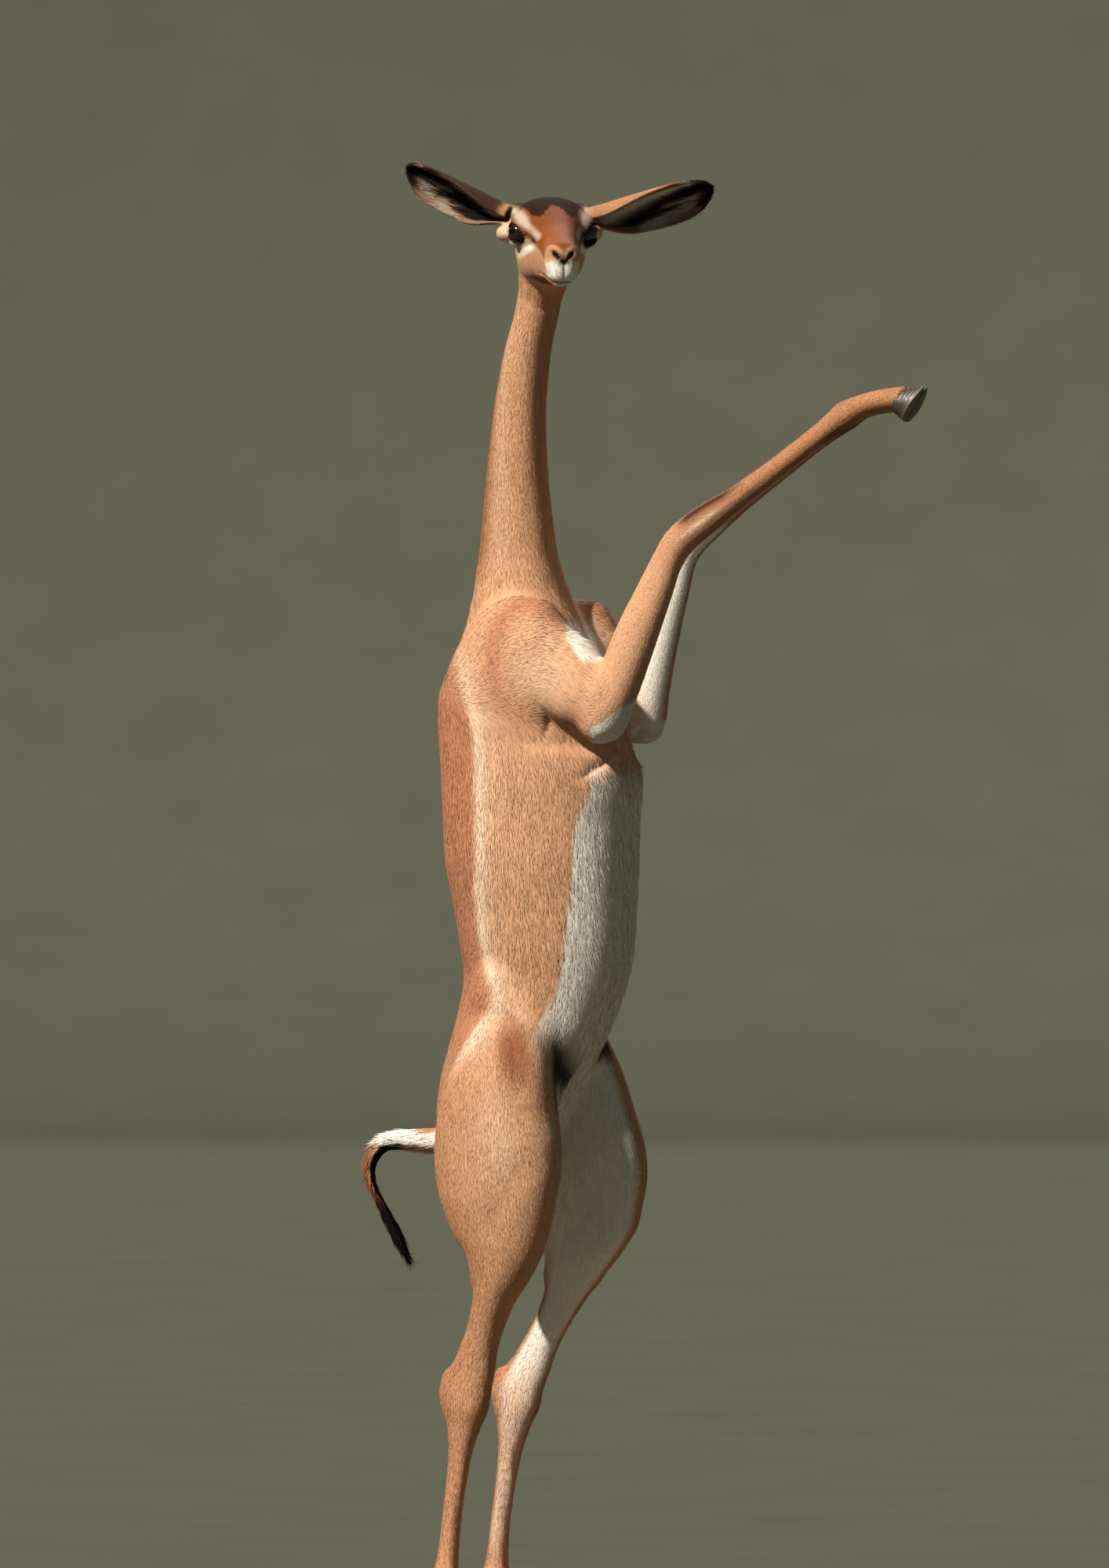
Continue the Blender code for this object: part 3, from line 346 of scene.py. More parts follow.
class Stack(Limb):
    """A limb of level oval slices. Its angle is 0 in front and its hair points down."""

    def __init__(self, rows, side=1.0, ahead=None, power=2.1, coat=0.0):
        self.fine, self.side, self.power, self.coat = spline(rows, 160), side, power, coat
        self.fine[:, 1] += ahead_of(self.fine[:, 0], ahead)
        self.room(self.fine[:, 1:4] * (1, side, 0) + self.fine[:, :1] * (0, 0, 1), self.fine[:, 3:5].max())

    def slices(self, p):
        """Each place seen from the middle of its level's slice, and that slice's half widths."""
        level = np.clip(p[:, 2], self.fine[0, 0], self.fine[-1, 0])
        x, y, deep, wide, turn = (np.interp(level, self.fine[:, 0], self.fine[:, i]) for i in range(1, 6))
        cos, sin = np.cos(np.radians(turn)), np.sin(np.radians(turn))
        dx, dy = p[:, 0] - x, p[:, 1] - self.side * y
        offset = np.stack([dx * cos + dy * sin, dy * cos - dx * sin, p[:, 2] - level], axis=1)
        return offset, np.stack([deep, wide, np.minimum(deep, wide)], axis=1)

    def shape(self, p):
        return oval(*self.slices(p), self.power)

    def place(self, p):
        offset, radii = self.slices(p)
        slope = np.gradient(self.fine[:, 1], self.fine[:, 0])
        lean = np.interp(p[:, 2], self.fine[:, 0], slope)
        lie = np.stack([-lean, np.zeros(len(p)), -np.ones(len(p))], axis=1)
        return p[:, 2], np.arctan2(offset[:, 1] / radii[:, 1], offset[:, 0] / radii[:, 0]), unit(lie)


class Sweep(Limb):
    """A limb with oval slices square to a curve, with its hair along it.

    Its angle is 0 on top of the tail, and on the side that the foot's sole faces on a leg.
    """

    def __init__(self, rows, side=1.0, ahead=None, coat=0.0):
        self.fine, self.coat = spline(rows, 5 * len(rows)), coat
        self.fine[:, 0] += ahead_of(self.fine[:, 2], ahead)
        self.line = self.fine[:, :3] * (1, side, 1)
        self.run = np.diff(self.line, axis=0)
        self.length = np.linalg.norm(self.run, axis=1)
        self.start = np.concatenate([[0], np.cumsum(self.length)])
        self.room(self.line, self.fine[:, 3:5].max())

    def nearest(self, p):
        """The stretch of the line that each place is nearest to, and the place seen from there."""
        best, found = np.full(len(p), 1e9), np.zeros((len(p), 9))
        for i, along in enumerate(self.run / self.length[:, None]):
            share = np.clip(((p - self.line[i]) @ along) / self.length[i], 0, 1)
            away = p - self.line[i] - (share * self.length[i])[:, None] * along
            far = (away**2).sum(axis=1)
            across = np.cross(along, (0, 1, 0))
            across /= np.linalg.norm(across)
            deep, wide = (self.fine[i, c] + share * (self.fine[i + 1, c] - self.fine[i, c]) for c in (3, 4))
            run = self.start[i] + share * self.length[i]
            row = np.column_stack([
                away @ across, away @ np.cross(across, along), away @ along, deep, wide, run,
                np.tile(along, (len(p), 1)),
            ])
            found = np.where((far < best)[:, None], row, found)
            best = np.minimum(best, far)
        return found

    def shape(self, p):
        found = self.nearest(p)
        return oval(found[:, :3], np.column_stack([found[:, 3:5], found[:, 3:5].min(axis=1)]))

    def place(self, p):
        found = self.nearest(p)
        return found[:, 5], np.arctan2(found[:, 1] / found[:, 4], -found[:, 0] / found[:, 3]), found[:, 6:]


class Egg(Limb):
    """A single egg-shaped mass."""

    def __init__(self, centre, radii):
        self.centre, self.radii = np.array(centre, float), np.array(radii, float)
        self.room(self.centre[None], self.radii.max())

    def shape(self, p):
        return oval(p - self.centre, self.radii)


class Head(Limb):
    """The skull and jaws. Along it is U, and the angle is 0 on top and goes round by the left."""

    coat = COAT["head"]

    def __init__(self):
        self.fine = spline(HEAD, 120)
        self.room(from_head([(u, v, 0) for u in (-0.09, 0.12) for v in (-0.05, 0.05)]), 0.04)

    def shape(self, p):
        """The head's rounded slices, narrower below, with its masses, lids, slots, nose and mouth."""
        q = to_face(p)
        u = np.clip(q[:, 0], self.fine[0, 0], self.fine[-1, 0])
        wide, top, low = (np.interp(u, self.fine[:, 0], self.fine[:, i]) for i in (1, 2, 3))
        middle, tall = (top + low) / 2, (top - low) / 2
        wide = wide * (1 + HEAD_TAPER * np.clip((q[:, 2] - middle) / tall, -1, 1))
        offset = np.stack([q[:, 0] - u, q[:, 1], q[:, 2] - middle], axis=1)
        value = oval(offset, np.stack([np.full(len(q), HEAD_END), wide, tall], axis=1), HEAD_POWER)
        for side in (-1, 1):
            mirror = np.array((1, side, 1))
            for place, size, width in HEAD_MASSES:
                value = melt(value, oval(q - place * mirror, np.array(size)), width)
            lid = np.linalg.norm(q - EYE_AT * mirror, axis=1) - EYE_RADIUS - 0.0015
            value = scoop(melt(value, lid, 0.005), oval(eye_slot(q, side), EYE_SLOT_SIZE), 0.003)
        return face_details(q, value)

    def place(self, p):
        """The hair runs back from the nose, and down behind the cheeks."""
        q = to_face(p)
        middle = np.interp(q[:, 0], self.fine[:, 0], self.fine[:, 2:4].mean(axis=1))
        back = np.column_stack([-np.ones(len(q)), q[:, 1] * 4, -rise(-q[:, 2], -0.01, 0.06) * 0.5])
        return q[:, 0], np.arctan2(q[:, 1], q[:, 2] - middle), unit(back) @ HEAD_AXES


class Ear(Limb):
    """A sheet of even thickness, on a circle's arc at each step to its tip, that curls shut at the root.

    Along it is the share of its length. The angle is the share of the half width across, from -1 at the
    lower rim to 1 at the upper one, and HOLLOW_SIDE is added on the hollow's side.
    """

    coat = COAT["ear"]

    def __init__(self, form):
        self.root, self.reach, facing = (np.array(v, float) for v in form)
        self.size = np.linalg.norm(self.reach)
        self.axis = self.reach / self.size
        self.face = unit(facing - (facing @ self.axis) * self.axis)
        self.cross = np.cross(self.axis, self.face)
        self.up = 1.0 if self.cross[2] > 0 else -1.0
        self.table = spline(EAR_FORM, 80)
        self.room(from_head([self.root, self.root + self.reach]), 0.05)

    def leaf(self, p):
        """The way from the ear's curled sheet, the share of its length, the place across, and if inside."""
        q = to_head(p) - self.root
        along = q @ self.axis
        share = np.clip(along / self.size, 0, 1)
        half, curl = (np.interp(share, self.table[:, 0], self.table[:, i]) for i in (1, 2))
        radius = 2 * half / curl
        b, c = radius - q @ self.face, q @ self.cross
        angle = np.clip(np.arctan2(c, b), -curl / 2, curl / 2)
        away = b - radius * np.cos(angle), c - radius * np.sin(angle), along - share * self.size
        return np.stack(away, axis=1), share, angle / (curl / 2), np.hypot(b, c) < radius

    def shape(self, p):
        return np.linalg.norm(self.leaf(p)[0], axis=1) - EAR_THICK / 2

    def place(self, p):
        away, share, across, inner = self.leaf(p)
        return share, across * self.up + HOLLOW_SIDE * inner, np.tile(self.axis @ HEAD_AXES, (len(p), 1))


# The nostrils: ahead, aside and up of their middle, their half sizes, and their slant.
NOSTRIL_AT, NOSTRIL_SIZE, NOSTRIL_SLANT = (0.1140, 0.0085, -0.0265), (0.0080, 0.0030, 0.0048), 0.55
# How deep the mouth and the lip's split are, and how far the lip's two lobes and its rim stand out.
MOUTH_DEEP, SPLIT_DEEP, LOBE_OUT, RIM_OUT = 0.0024, 0.0020, 0.0022, 0.0012
# The mouth's line: its height at the lips, its rise to its corner, where that starts and over how far.
MOUTH_LOW, MOUTH_RISE, MOUTH_START, MOUTH_STRETCH = -0.0600, 0.0085, 0.108, 0.045
# The bone under each eye, the pit before it and the brow: place, stretch along the face, width and height.
FACE_SWELLINGS = (
    ((0.006, 0.0500, -0.0150), 1.5, 0.0100, 0.0030),
    ((0.036, 0.0345, -0.0085), 1.5, 0.0065, -0.0020),
    ((0.004, 0.0460, 0.0165), 1.6, 0.0080, 0.0012),
)


def mouth_height(u):
    return MOUTH_LOW + MOUTH_RISE * np.clip((MOUTH_START - u) / MOUTH_STRETCH, 0, 1.25)


def face_details(q, value):
    """Add the nostrils, the split lip, the mouth, the pits before the eyes and the bone under them."""
    u, v, w = q.T
    side = np.abs(v)
    ahead, out, up = NOSTRIL_AT
    slant = side - out - NOSTRIL_SLANT * (w - up)
    nostril = oval(np.column_stack([u - ahead, slant, w - up]), np.array(NOSTRIL_SIZE))
    value = scoop(value, nostril, 0.0022)
    mouth = mouth_height(u)
    value = value + MOUTH_DEEP * bell(w - mouth, 0.0016) * rise(u, 0.046, 0.058)
    value = value + SPLIT_DEEP * bell(v, 0.0016) * rise(u, 0.098, 0.108) * bell(w + 0.042, 0.013)
    lobe = np.column_stack([side - 0.0085, w + 0.046]) / (0.0080, 0.0100)
    value = value - LOBE_OUT * bell(np.linalg.norm(lobe, axis=1), 1.0) * rise(u, 0.088, 0.104)
    value = value - RIM_OUT * bell(w - mouth - 0.006, 0.004) * rise(u, 0.060, 0.085)
    for at, stretch, width, height in FACE_SWELLINGS:
        offset = (np.column_stack([u, side, w]) - at) / (stretch, 1, 1)
        value = value - height * bell(np.linalg.norm(offset, axis=1), width)
    return value


SPINE = Stack(TRUNK + NECK, coat=COAT["trunk"])
TAIL_LIMB = Sweep(TAIL, coat=COAT["tail"])
HEAD_LIMB = Head()
EARS = Ear(EAR_RIGHT), Ear(EAR_LEFT)
NAPE_MASS = Egg(from_head(NAPE), NAPE_SIZE)
SIDED = []
for SIDE, ARM, FORE, HIND in ((-1, None, None, None), (1, LEFT_ARM_AHEAD, LEFT_FORE_AHEAD, LEFT_HIND_AHEAD)):
    hock = (HOCK_TIP[0] + ahead_of(HOCK_TIP[2], HIND), SIDE * HOCK_TIP[1], HOCK_TIP[2])
    SIDED.append({
        "shoulder": Sweep(SHOULDER, SIDE, coat=COAT["arm"]),
        "arm": Sweep(UPPER_ARM, SIDE, ARM, coat=COAT["arm"]),
        "foreleg": Sweep(FORELEG, SIDE, FORE, coat=COAT["foreleg"]),
        "hindleg": Stack(HIND_LEG, SIDE, HIND, coat=COAT["hindleg"]),
        "pastern": Sweep(HIND_PASTERN, SIDE, HIND, coat=COAT["foreleg"]),
        "hip": Egg(np.array(HIP_BONE) * (1, SIDE, 1), HIP_BONE_SIZE),
        "hock": Egg(hock, HOCK_TIP_SIZE),
    })
MELTS = {"shoulder": 0.030, "arm": 0.030, "foreleg": 0.018, "hindleg": 0.022, "pastern": 0.008, "hip": 0.030,
         "hock": 0.018}
TAIL_MELT, EAR_MELT, NAPE_MELT, HEAD_MELT = 0.010, 0.005, 0.02, 0.016
# Folds and ridges on each flank: rows of forward, height and depth (a ridge is below zero), then the width.
FOLDS = (
    (((0.060, 1.345, 0.0), (0.100, 1.352, 0.0004), (0.140, 1.345, 0.0014), (0.184, 1.312, 0.0024),
      (0.200, 1.290, 0.0)), 0.015),
    (((0.110, 1.158, 0.0), (0.150, 1.156, 0.0018), (0.190, 1.152, 0.0032), (0.228, 1.150, 0.0010)), 0.010),
    (((0.180, 1.108, 0.0), (0.200, 1.124, 0.0036), (0.2255, 1.150, 0.0050), (0.258, 1.172, 0.0)), 0.006),
    (((0.075, 0.838, 0.0), (0.070, 0.818, -0.0022), (0.045, 0.783, -0.0030), (0.022, 0.742, 0.0)), 0.009),
    (((0.078, 0.838, 0.0), (0.100, 0.815, -0.0022), (0.128, 0.786, -0.0034), (0.145, 0.745, -0.0026),
      (0.154, 0.690, 0.0)), 0.009),
    (((0.094, 0.812, 0.0), (0.103, 0.775, 0.0052), (0.116, 0.740, 0.0046), (0.122, 0.700, 0.0)), 0.013),
    (((0.150, 0.640, 0.0), (0.128, 0.610, 0.0016), (0.100, 0.560, 0.0016), (0.085, 0.520, 0.0)), 0.014),
    (((0.006, 0.365, 0.0), (0.014, 0.395, 0.0040), (0.030, 0.435, 0.0045), (0.052, 0.478, 0.0)), 0.0055),
    (((0.004, 0.110, 0.0), (0.008, 0.170, 0.0014), (0.012, 0.230, 0.0014), (0.016, 0.285, 0.0)), 0.0035),
)


def folded(p, value):
    """Press the folds in and raise the ridges, by a bell of the distance to each line from the side."""
    spot = p[:, (0, 2)]
    for line, wide in FOLDS:
        fine = spline(line, 8 * len(line))
        shift = ahead_of(fine[:, 1], LEFT_HIND_AHEAD) if fine[0, 1] < 0.9 else np.zeros(len(fine))
        for side in (-1, 1):
            at = fine[:, :2] + np.column_stack([shift, np.zeros(len(fine))]) * (side > 0)
            low, high = at.min(axis=0) - 3 * wide, at.max(axis=0) + 3 * wide
            some = ((spot > low) & (spot < high)).all(axis=1) & (p[:, 1] * side > LEFT_FROM)
            gaps = ((spot[some][:, None, :] - at) ** 2).sum(axis=2)
            nearest = gaps.argmin(axis=1)
            value[some] += fine[nearest, 2] * bell(np.sqrt(gaps[np.arange(len(gaps)), nearest]), wide)
    return value


# A claw of a hoof. The fore claws' soles are tipped up from the level by the angle.
CLAW_LENGTH, CLAW_WIDTH, CLAW_HEIGHT, CLAW_APART = 0.052, 0.0160, 0.0265, 0.0009
CROWN_LENGTH, CROWN_BACK, CROWN_SLOPE, CROWN_SUNK = 0.56, 0.18, 0.30, 0.004
HIND_TOE = (0.053, 0.060, 0.0)
FORE_TOE, FORE_TIP_UP = (0.680, 0.064, 1.606), math.radians(56)


def foot_frame(toe, tip_up, side, ahead):
    """A foot's toe, and its ways forward along the sole and up from it."""
    place = np.array((toe[0] + ahead_of(toe[2], ahead), side * toe[1], toe[2]))
    cos, sin = math.cos(tip_up), math.sin(tip_up)
    return place, np.array((cos, 0, sin)), np.array((-sin, 0, cos))


def crown(toe, tip_up, side, ahead):
    """The middle of the top of a hoof, and the way up from it."""
    place, forward, up = foot_frame(toe, tip_up, side, ahead)
    back, tall = CLAW_LENGTH * (0.5 + CROWN_BACK), CLAW_HEIGHT * (1 - CROWN_SLOPE / 2)
    across = up * CLAW_LENGTH * CROWN_LENGTH - forward * CLAW_HEIGHT * CROWN_SLOPE
    return place - forward * back + up * tall, unit(across)


FEET = []
for SIDE, FORE, HIND in ((-1, None, None), (1, LEFT_FORE_AHEAD, LEFT_HIND_AHEAD)):
    FEET += [("fore", FORE_TOE, FORE_TIP_UP, SIDE, FORE), ("hind", HIND_TOE, 0, SIDE, HIND)]


def body_field(p):
    """Everything below the head, melted together limb by limb, and cut flat inside each hoof's crown."""
    value = SPINE.value(p)
    for limbs in SIDED:
        for name, width in MELTS.items():
            value = melt(value, limbs[name].value(p), width)
    value = folded(p, melt(value, TAIL_LIMB.value(p), TAIL_MELT))
    for _, toe, tip_up, side, ahead in FEET:
        middle, way = crown(toe, tip_up, side, ahead)
        below = (middle - p) @ way - CROWN_SUNK
        value = np.where(np.linalg.norm(p - middle, axis=1) < 0.06, np.maximum(value, below), value)
    return value


def head_field(p):
    head = HEAD_LIMB.value(p)
    for ear in EARS:
        head = melt(head, ear.value(p), EAR_MELT)
    return melt(melt(SPINE.value(p), NAPE_MASS.value(p), NAPE_MELT), head, HEAD_MELT)


CORNERS = np.array([(i, j, k) for i in (0, 1) for j in (0, 1) for k in (0, 1)])
# A block of cells is worked out in full when the surface is within this many of its sides.
BLOCK_REACH = 1.6
EDGES = [(a, b) for a in range(8) for b in range(a + 1, 8) if np.abs(CORNERS[a] - CORNERS[b]).sum() == 1]


def sampled(field, low, high, voxel, block=4):
    """The field on a grid, worked out in full only in blocks of cells that are near the surface."""
    count = np.ceil((np.asarray(high) - low) / (voxel * block)).astype(int)
    corner = np.stack(np.meshgrid(*(np.arange(n) for n in count), indexing="ij"), axis=-1).reshape(-1, 3)
    rough = field(low + (corner * block + (block - 1) / 2) * voxel)
    near = np.abs(rough) < voxel * block * BLOCK_REACH
    inner = np.stack(np.meshgrid(*(np.arange(block),) * 3, indexing="ij"), axis=-1).reshape(-1, 3)
    spots = (corner[near][:, None, :] * block + inner).reshape(-1, 3)
    grid = rough.reshape(count)
    for axis in range(3):
        grid = np.repeat(grid, block, axis)
    grid[tuple(spots.T)] = field(low + spots * voxel)
    for axis in range(3):
        for end in (0, -1):
            np.moveaxis(grid, axis, 0)[end] = voxel
    return grid


def netted(grid, low, voxel):
    """Surface nets: a point in each cell that the surface crosses, a quad round each crossed edge."""
    shape = np.array(grid.shape)
    inside = grid < 0
    total = sum(
        inside[tuple(slice(c, n - 1 + c) for c, n in zip(corner, shape))].astype(int) for corner in CORNERS
    )
    cells = np.argwhere((total > 0) & (total < 8))
    values = grid[tuple((cells[:, None, :] + CORNERS).reshape(-1, 3).T)].reshape(-1, 8)
    place, hits = np.zeros((len(cells), 3)), np.zeros(len(cells))
    for a, b in EDGES:
        crossed = (values[:, a] < 0) != (values[:, b] < 0)
        share = values[:, a] / np.where(crossed, values[:, a] - values[:, b], 1)
        place += crossed[:, None] * (CORNERS[a] + share[:, None] * (CORNERS[b] - CORNERS[a]))
        hits += crossed
    points = low + (cells + place / hits[:, None]) * voxel
    number = np.full(shape, -1)
    number[tuple(cells.T)] = np.arange(len(cells))
    quads = []
    for axis in range(3):
        step = np.eye(3, dtype=int)
        here = inside[tuple(slice(0, n - step[axis][i]) for i, n in enumerate(shape))]
        there = inside[tuple(slice(step[axis][i], None) for i in range(3))]
        edges = np.argwhere(here != there)
        one, two = step[(axis + 1) % 3], step[(axis + 2) % 3]
        ring = [number[tuple((edges - shift).T)] for shift in (one + two, two, one * 0, one)]
        loop = np.stack(ring, axis=1)
        quads.append(np.where(here[tuple(edges.T)][:, None], loop, loop[:, ::-1]))
    return points, np.concatenate(quads)


def settled(points, field, voxel, rounds=2):
    """Move each point along the field's slope until it lies on the surface."""
    step = voxel * 0.25
    for _ in range(rounds):
        rises = [field(points + d) - field(points - d) for d in np.eye(3) * step]
        slope = np.stack(rises, axis=1) / (2 * step)
        size = (slope**2).sum(axis=1) + 1e-6
        move = (field(points) / size)[:, None] * slope
        points = points - np.clip(move, -voxel / 3, voxel / 3)
    return points


def linked(name, mesh):
    piece = bpy.data.objects.new(name, mesh)
    bpy.context.scene.collection.objects.link(piece)
    return piece


def baked(piece):
    """Apply the piece's modifiers, so that its mesh is what shows."""
    graph = bpy.context.evaluated_depsgraph_get()
    mesh = bpy.data.meshes.new_from_object(piece.evaluated_get(graph))
    piece.modifiers.clear()
    piece.data = mesh
    return piece


def coordinates(mesh):
    spots = np.empty(len(mesh.vertices) * 3, np.float32)
    mesh.vertices.foreach_get("co", spots)
    return spots.reshape(-1, 3).astype(float)


def mesh_from(name, points, faces, smooth=True):
    """A mesh from whole arrays: `faces` holds one row of corners for each face."""
    mesh = bpy.data.meshes.new(name)
    mesh.vertices.add(len(points))
    mesh.vertices.foreach_set("co", np.asarray(points, np.float32).ravel())
    count, corners = faces.shape
    mesh.loops.add(count * corners)
    mesh.loops.foreach_set("vertex_index", faces.astype(np.int32).ravel())
    mesh.polygons.add(count)
    mesh.polygons.foreach_set("loop_start", np.arange(0, count * corners, corners, dtype=np.int32))
    mesh.update(calc_edges=True)
    mesh.polygons.foreach_set("use_smooth", np.full(count, smooth))
    return mesh


def attribute(mesh, name, values):
    """Store numbers, or threes of numbers, on the points of a mesh."""
    kind, key = ("FLOAT", "value") if values.ndim == 1 else ("FLOAT_VECTOR", "vector")
    mesh.attributes.new(name, kind, "POINT").data.foreach_set(key, values.astype(np.float32).ravel())


def drawn(field, box, voxel):
    """Points and quads of the field's surface inside a box."""
    low, high = (np.array(v, float) for v in box)
    points, quads = netted(sampled(field, low, high, voxel), low, voxel)
    return settled(points, field, voxel), quads


def skin_mesh():
    """The body and the finer head, each cut level at the neck, and the strip between the two cuts closed."""
    data = bmesh.new()
    for field, box, voxel, height, way in ((body_field, BODY_BOX, BODY_VOXEL, NECK_JOIN - JOIN_GAP / 2, 1),
                                           (head_field, HEAD_BOX, HEAD_VOXEL, NECK_JOIN + JOIN_GAP / 2, -1)):
        points, quads = drawn(field, box, voxel)
        half = bmesh.new()
        half.from_mesh(mesh_from("half", points, quads))
        geometry = half.verts[:] + half.edges[:] + half.faces[:]
        bmesh.ops.bisect_plane(half, geom=geometry, dist=1e-5, plane_co=(0, 0, height), plane_no=(0, 0, way),
                               clear_outer=True)
        piece = bpy.data.meshes.new("half")
        half.to_mesh(piece)
        half.free()
        data.from_mesh(piece)
    rims = [edge for edge in data.edges if edge.is_boundary]
    bmesh.ops.bridge_loops(data, edges=rims)
    bmesh.ops.recalc_face_normals(data, faces=data.faces)
    mesh = bpy.data.meshes.new("skin")
    data.to_mesh(mesh)
    data.free()
    return mesh


# What each point of skin is on, and the marks that it carries.
MARKS = ("saddle", "pale", "white", "dark", "rust", "grey")
KINDS = ("trunk", "neck", "arm", "foreleg", "hindleg", "tail", "head", "ear")
# The edge of the dark saddle, seen from the side: height and forward. A pale line runs just in front of it,
# partly paler coat and partly a painted highlight.
SADDLE_EDGE = (
    (0.640, -0.060), (0.700, -0.010), (0.7535, 0.026), (0.7777, 0.0414), (0.8043, 0.056), (0.825, 0.072),
    (0.848, 0.068), (0.889, 0.049), (0.952, 0.041), (1.010, 0.046), (1.063, 0.0473), (1.126, 0.0449),
    (1.179, 0.038), (1.215, 0.026), (1.250, 0.012), (1.290, -0.010), (1.330, -0.030),
)
# The white belly's edge: height and the cosine of the angle from the front.
BELLY_EDGE = (
    (0.620, 0.30), (0.790, 0.38), (0.818, 0.41), (0.840, 0.48), (0.907, 0.53), (0.983, 0.61), (1.036, 0.63),
    (1.081, 0.69), (1.119, 0.75),
)
SHOULDER_CLOUD = (
    (0.150, 1.333), (0.105, 1.331), (0.078, 1.295), (0.074, 1.245), (0.092, 1.200), (0.140, 1.178),
    (0.190, 1.182),
)
# The hollow on the thigh, painted in shade, seen from the side: its middle, its tilt, and its half sizes
# across and along.
HOLLOW_AT, HOLLOW_TILT, HOLLOW_MIDDLE, HOLLOW_SIZE = (0.113, 0.758), 0.25, 0.764, (0.019, 0.040)
# The pale ridge on the thigh, seen from the side: forward and height. It carries a painted highlight.
THIGH_RIDGE = ((0.098, 0.826), (0.128, 0.796), (0.146, 0.755), (0.156, 0.700), (0.158, 0.660))
# The path of the painted shadow in the groin, seen from the side: forward and height.
GROIN_SHADE = ((0.126, 0.818), (0.138, 0.790), (0.146, 0.755), (0.146, 0.715), (0.138, 0.680), (0.124, 0.655))
# The way across the picture, for marks whose edges are drawn as they are seen from there.
OBLIQUE = (0.883, 0.469)
# The shoulder's paler middle, seen from the side, and its half size.
SHOULDER_MIDDLE, SHOULDER_PALE = (0.150, 1.240), 0.040
# The chest's white: its back edge, the slope of that edge below a height, and the heights it lies between.
CHEST_BACK, CHEST_SLOPE, CHEST_LOW, CHEST_TOP = 0.114, 0.72, 1.287, 1.313
# The line over the elbow's white: a point on it, and its slope.
ELBOW_LINE, ELBOW_SLOPE = (0.158, 1.181), 0.61


def waves(p, size, seed):
    """A smooth pattern between -1.6 and 1.6, the mean of eight seeded sines, `size` across."""
    chance = np.random.default_rng(seed)
    ways = unit(chance.normal(size=(8, 3))) * (2 * np.pi / size) * chance.uniform(0.6, 1.5, (8, 1))
    return np.sin(p @ ways.T + chance.uniform(0, 2 * np.pi, 8)).mean(axis=1) * 1.6


def blank(n):
    return {name: np.zeros(n) for name in MARKS}


def deepen(marks, name, amount):
    """Make one mark at least as strong as the amount at each point."""
    marks[name] = np.maximum(marks[name], amount)


def along_path(spots, rows, width):
    """1 on a curve through the rows, in the plane of the spots, fading over `width`."""
    line = spline(rows, 12 * len(rows))
    return bell(np.sqrt(((spots[:, None, :] - line) ** 2).sum(axis=2).min(axis=1)), width)


def saddled(marks, p, ahead=None):
    """Add the saddle and the pale line in front of it, partly paler coat and partly painted highlight, by the
    distance ahead of the saddle's edge.
    """
    forward = p[:, 0] - ahead_of(p[:, 2], ahead) * (p[:, 1] > LEFT_FROM)
    ragged = 0.0022 * waves(p * (1, 1, 0.30), 0.012, 21)
    past = forward - np.interp(p[:, 2], *zip(*SADDLE_EDGE)) + ragged
    high, low = rise(p[:, 2], 1.16, 1.32), fall(p[:, 2], 0.76, 0.86)
    back = fall(past, -0.006, 0.006 + 0.010 * high)
    deepen(marks, "saddle", back * (1 - 0.65 * high - 0.30 * low))
    deepen(marks, "rust", back * (0.12 + 0.20 * high + 0.45 * low))
    # The pale line: partly a paler band of coat, partly a painted highlight.
    line = 0.95 * bell(past - 0.008, 0.008 + 0.006 * high) + 0.30 * bell(past - 0.020, 0.018)
    deepen(marks, "pale", np.clip(line, 0, 1) * rise(p[:, 2], 0.725, 0.78) * (1 - high))
    return marks


def flanked(marks, p):
    """A red-brown hollow of painted shade between pale ridges where thigh meets flank, the thigh's ridge a
    painted highlight, and painted shadow in the groin.
    """
    z = p[:, 2]
    ahead = p[:, 0] - ahead_of(z, LEFT_HIND_AHEAD) * (p[:, 1] > LEFT_FROM)
    outer = rise(np.abs(p[:, 1]), 0.070, 0.090)
    tilted = ahead - HOLLOW_AT[0] + HOLLOW_TILT * (z - HOLLOW_AT[1])
    far = (tilted / HOLLOW_SIZE[0]) ** 2, ((z - HOLLOW_MIDDLE) / HOLLOW_SIZE[1]) ** 2
    # Painted shade in the hollow, tinted red-brown and darkened.
    hollow = np.clip(1.2 * np.exp(-far[0] - far[1]) * outer, 0, 1)
    deepen(marks, "rust", 1.00 * hollow)
    deepen(marks, "saddle", 0.55 * hollow)
    deepen(marks, "dark", 0.20 * hollow)
    # Painted highlight along the thigh's ridge.
    ridge = along_path(np.column_stack([ahead, z]), THIGH_RIDGE, 0.006) * outer
    deepen(marks, "pale", 0.75 * ridge)
    # Painted shadow in the groin, along the path between thigh and belly.
    aside = np.abs(p[:, 1])
    inside = rise(aside, 0.010, 0.022) * fall(aside, 0.054, 0.072)
    inside *= np.where(p[:, 1] > 0, rise(z, 0.740, 0.770), 1)
    deepen(marks, "dark", 0.95 * inside * along_path(np.column_stack([ahead, z]), GROIN_SHADE, 0.016))
    return marks


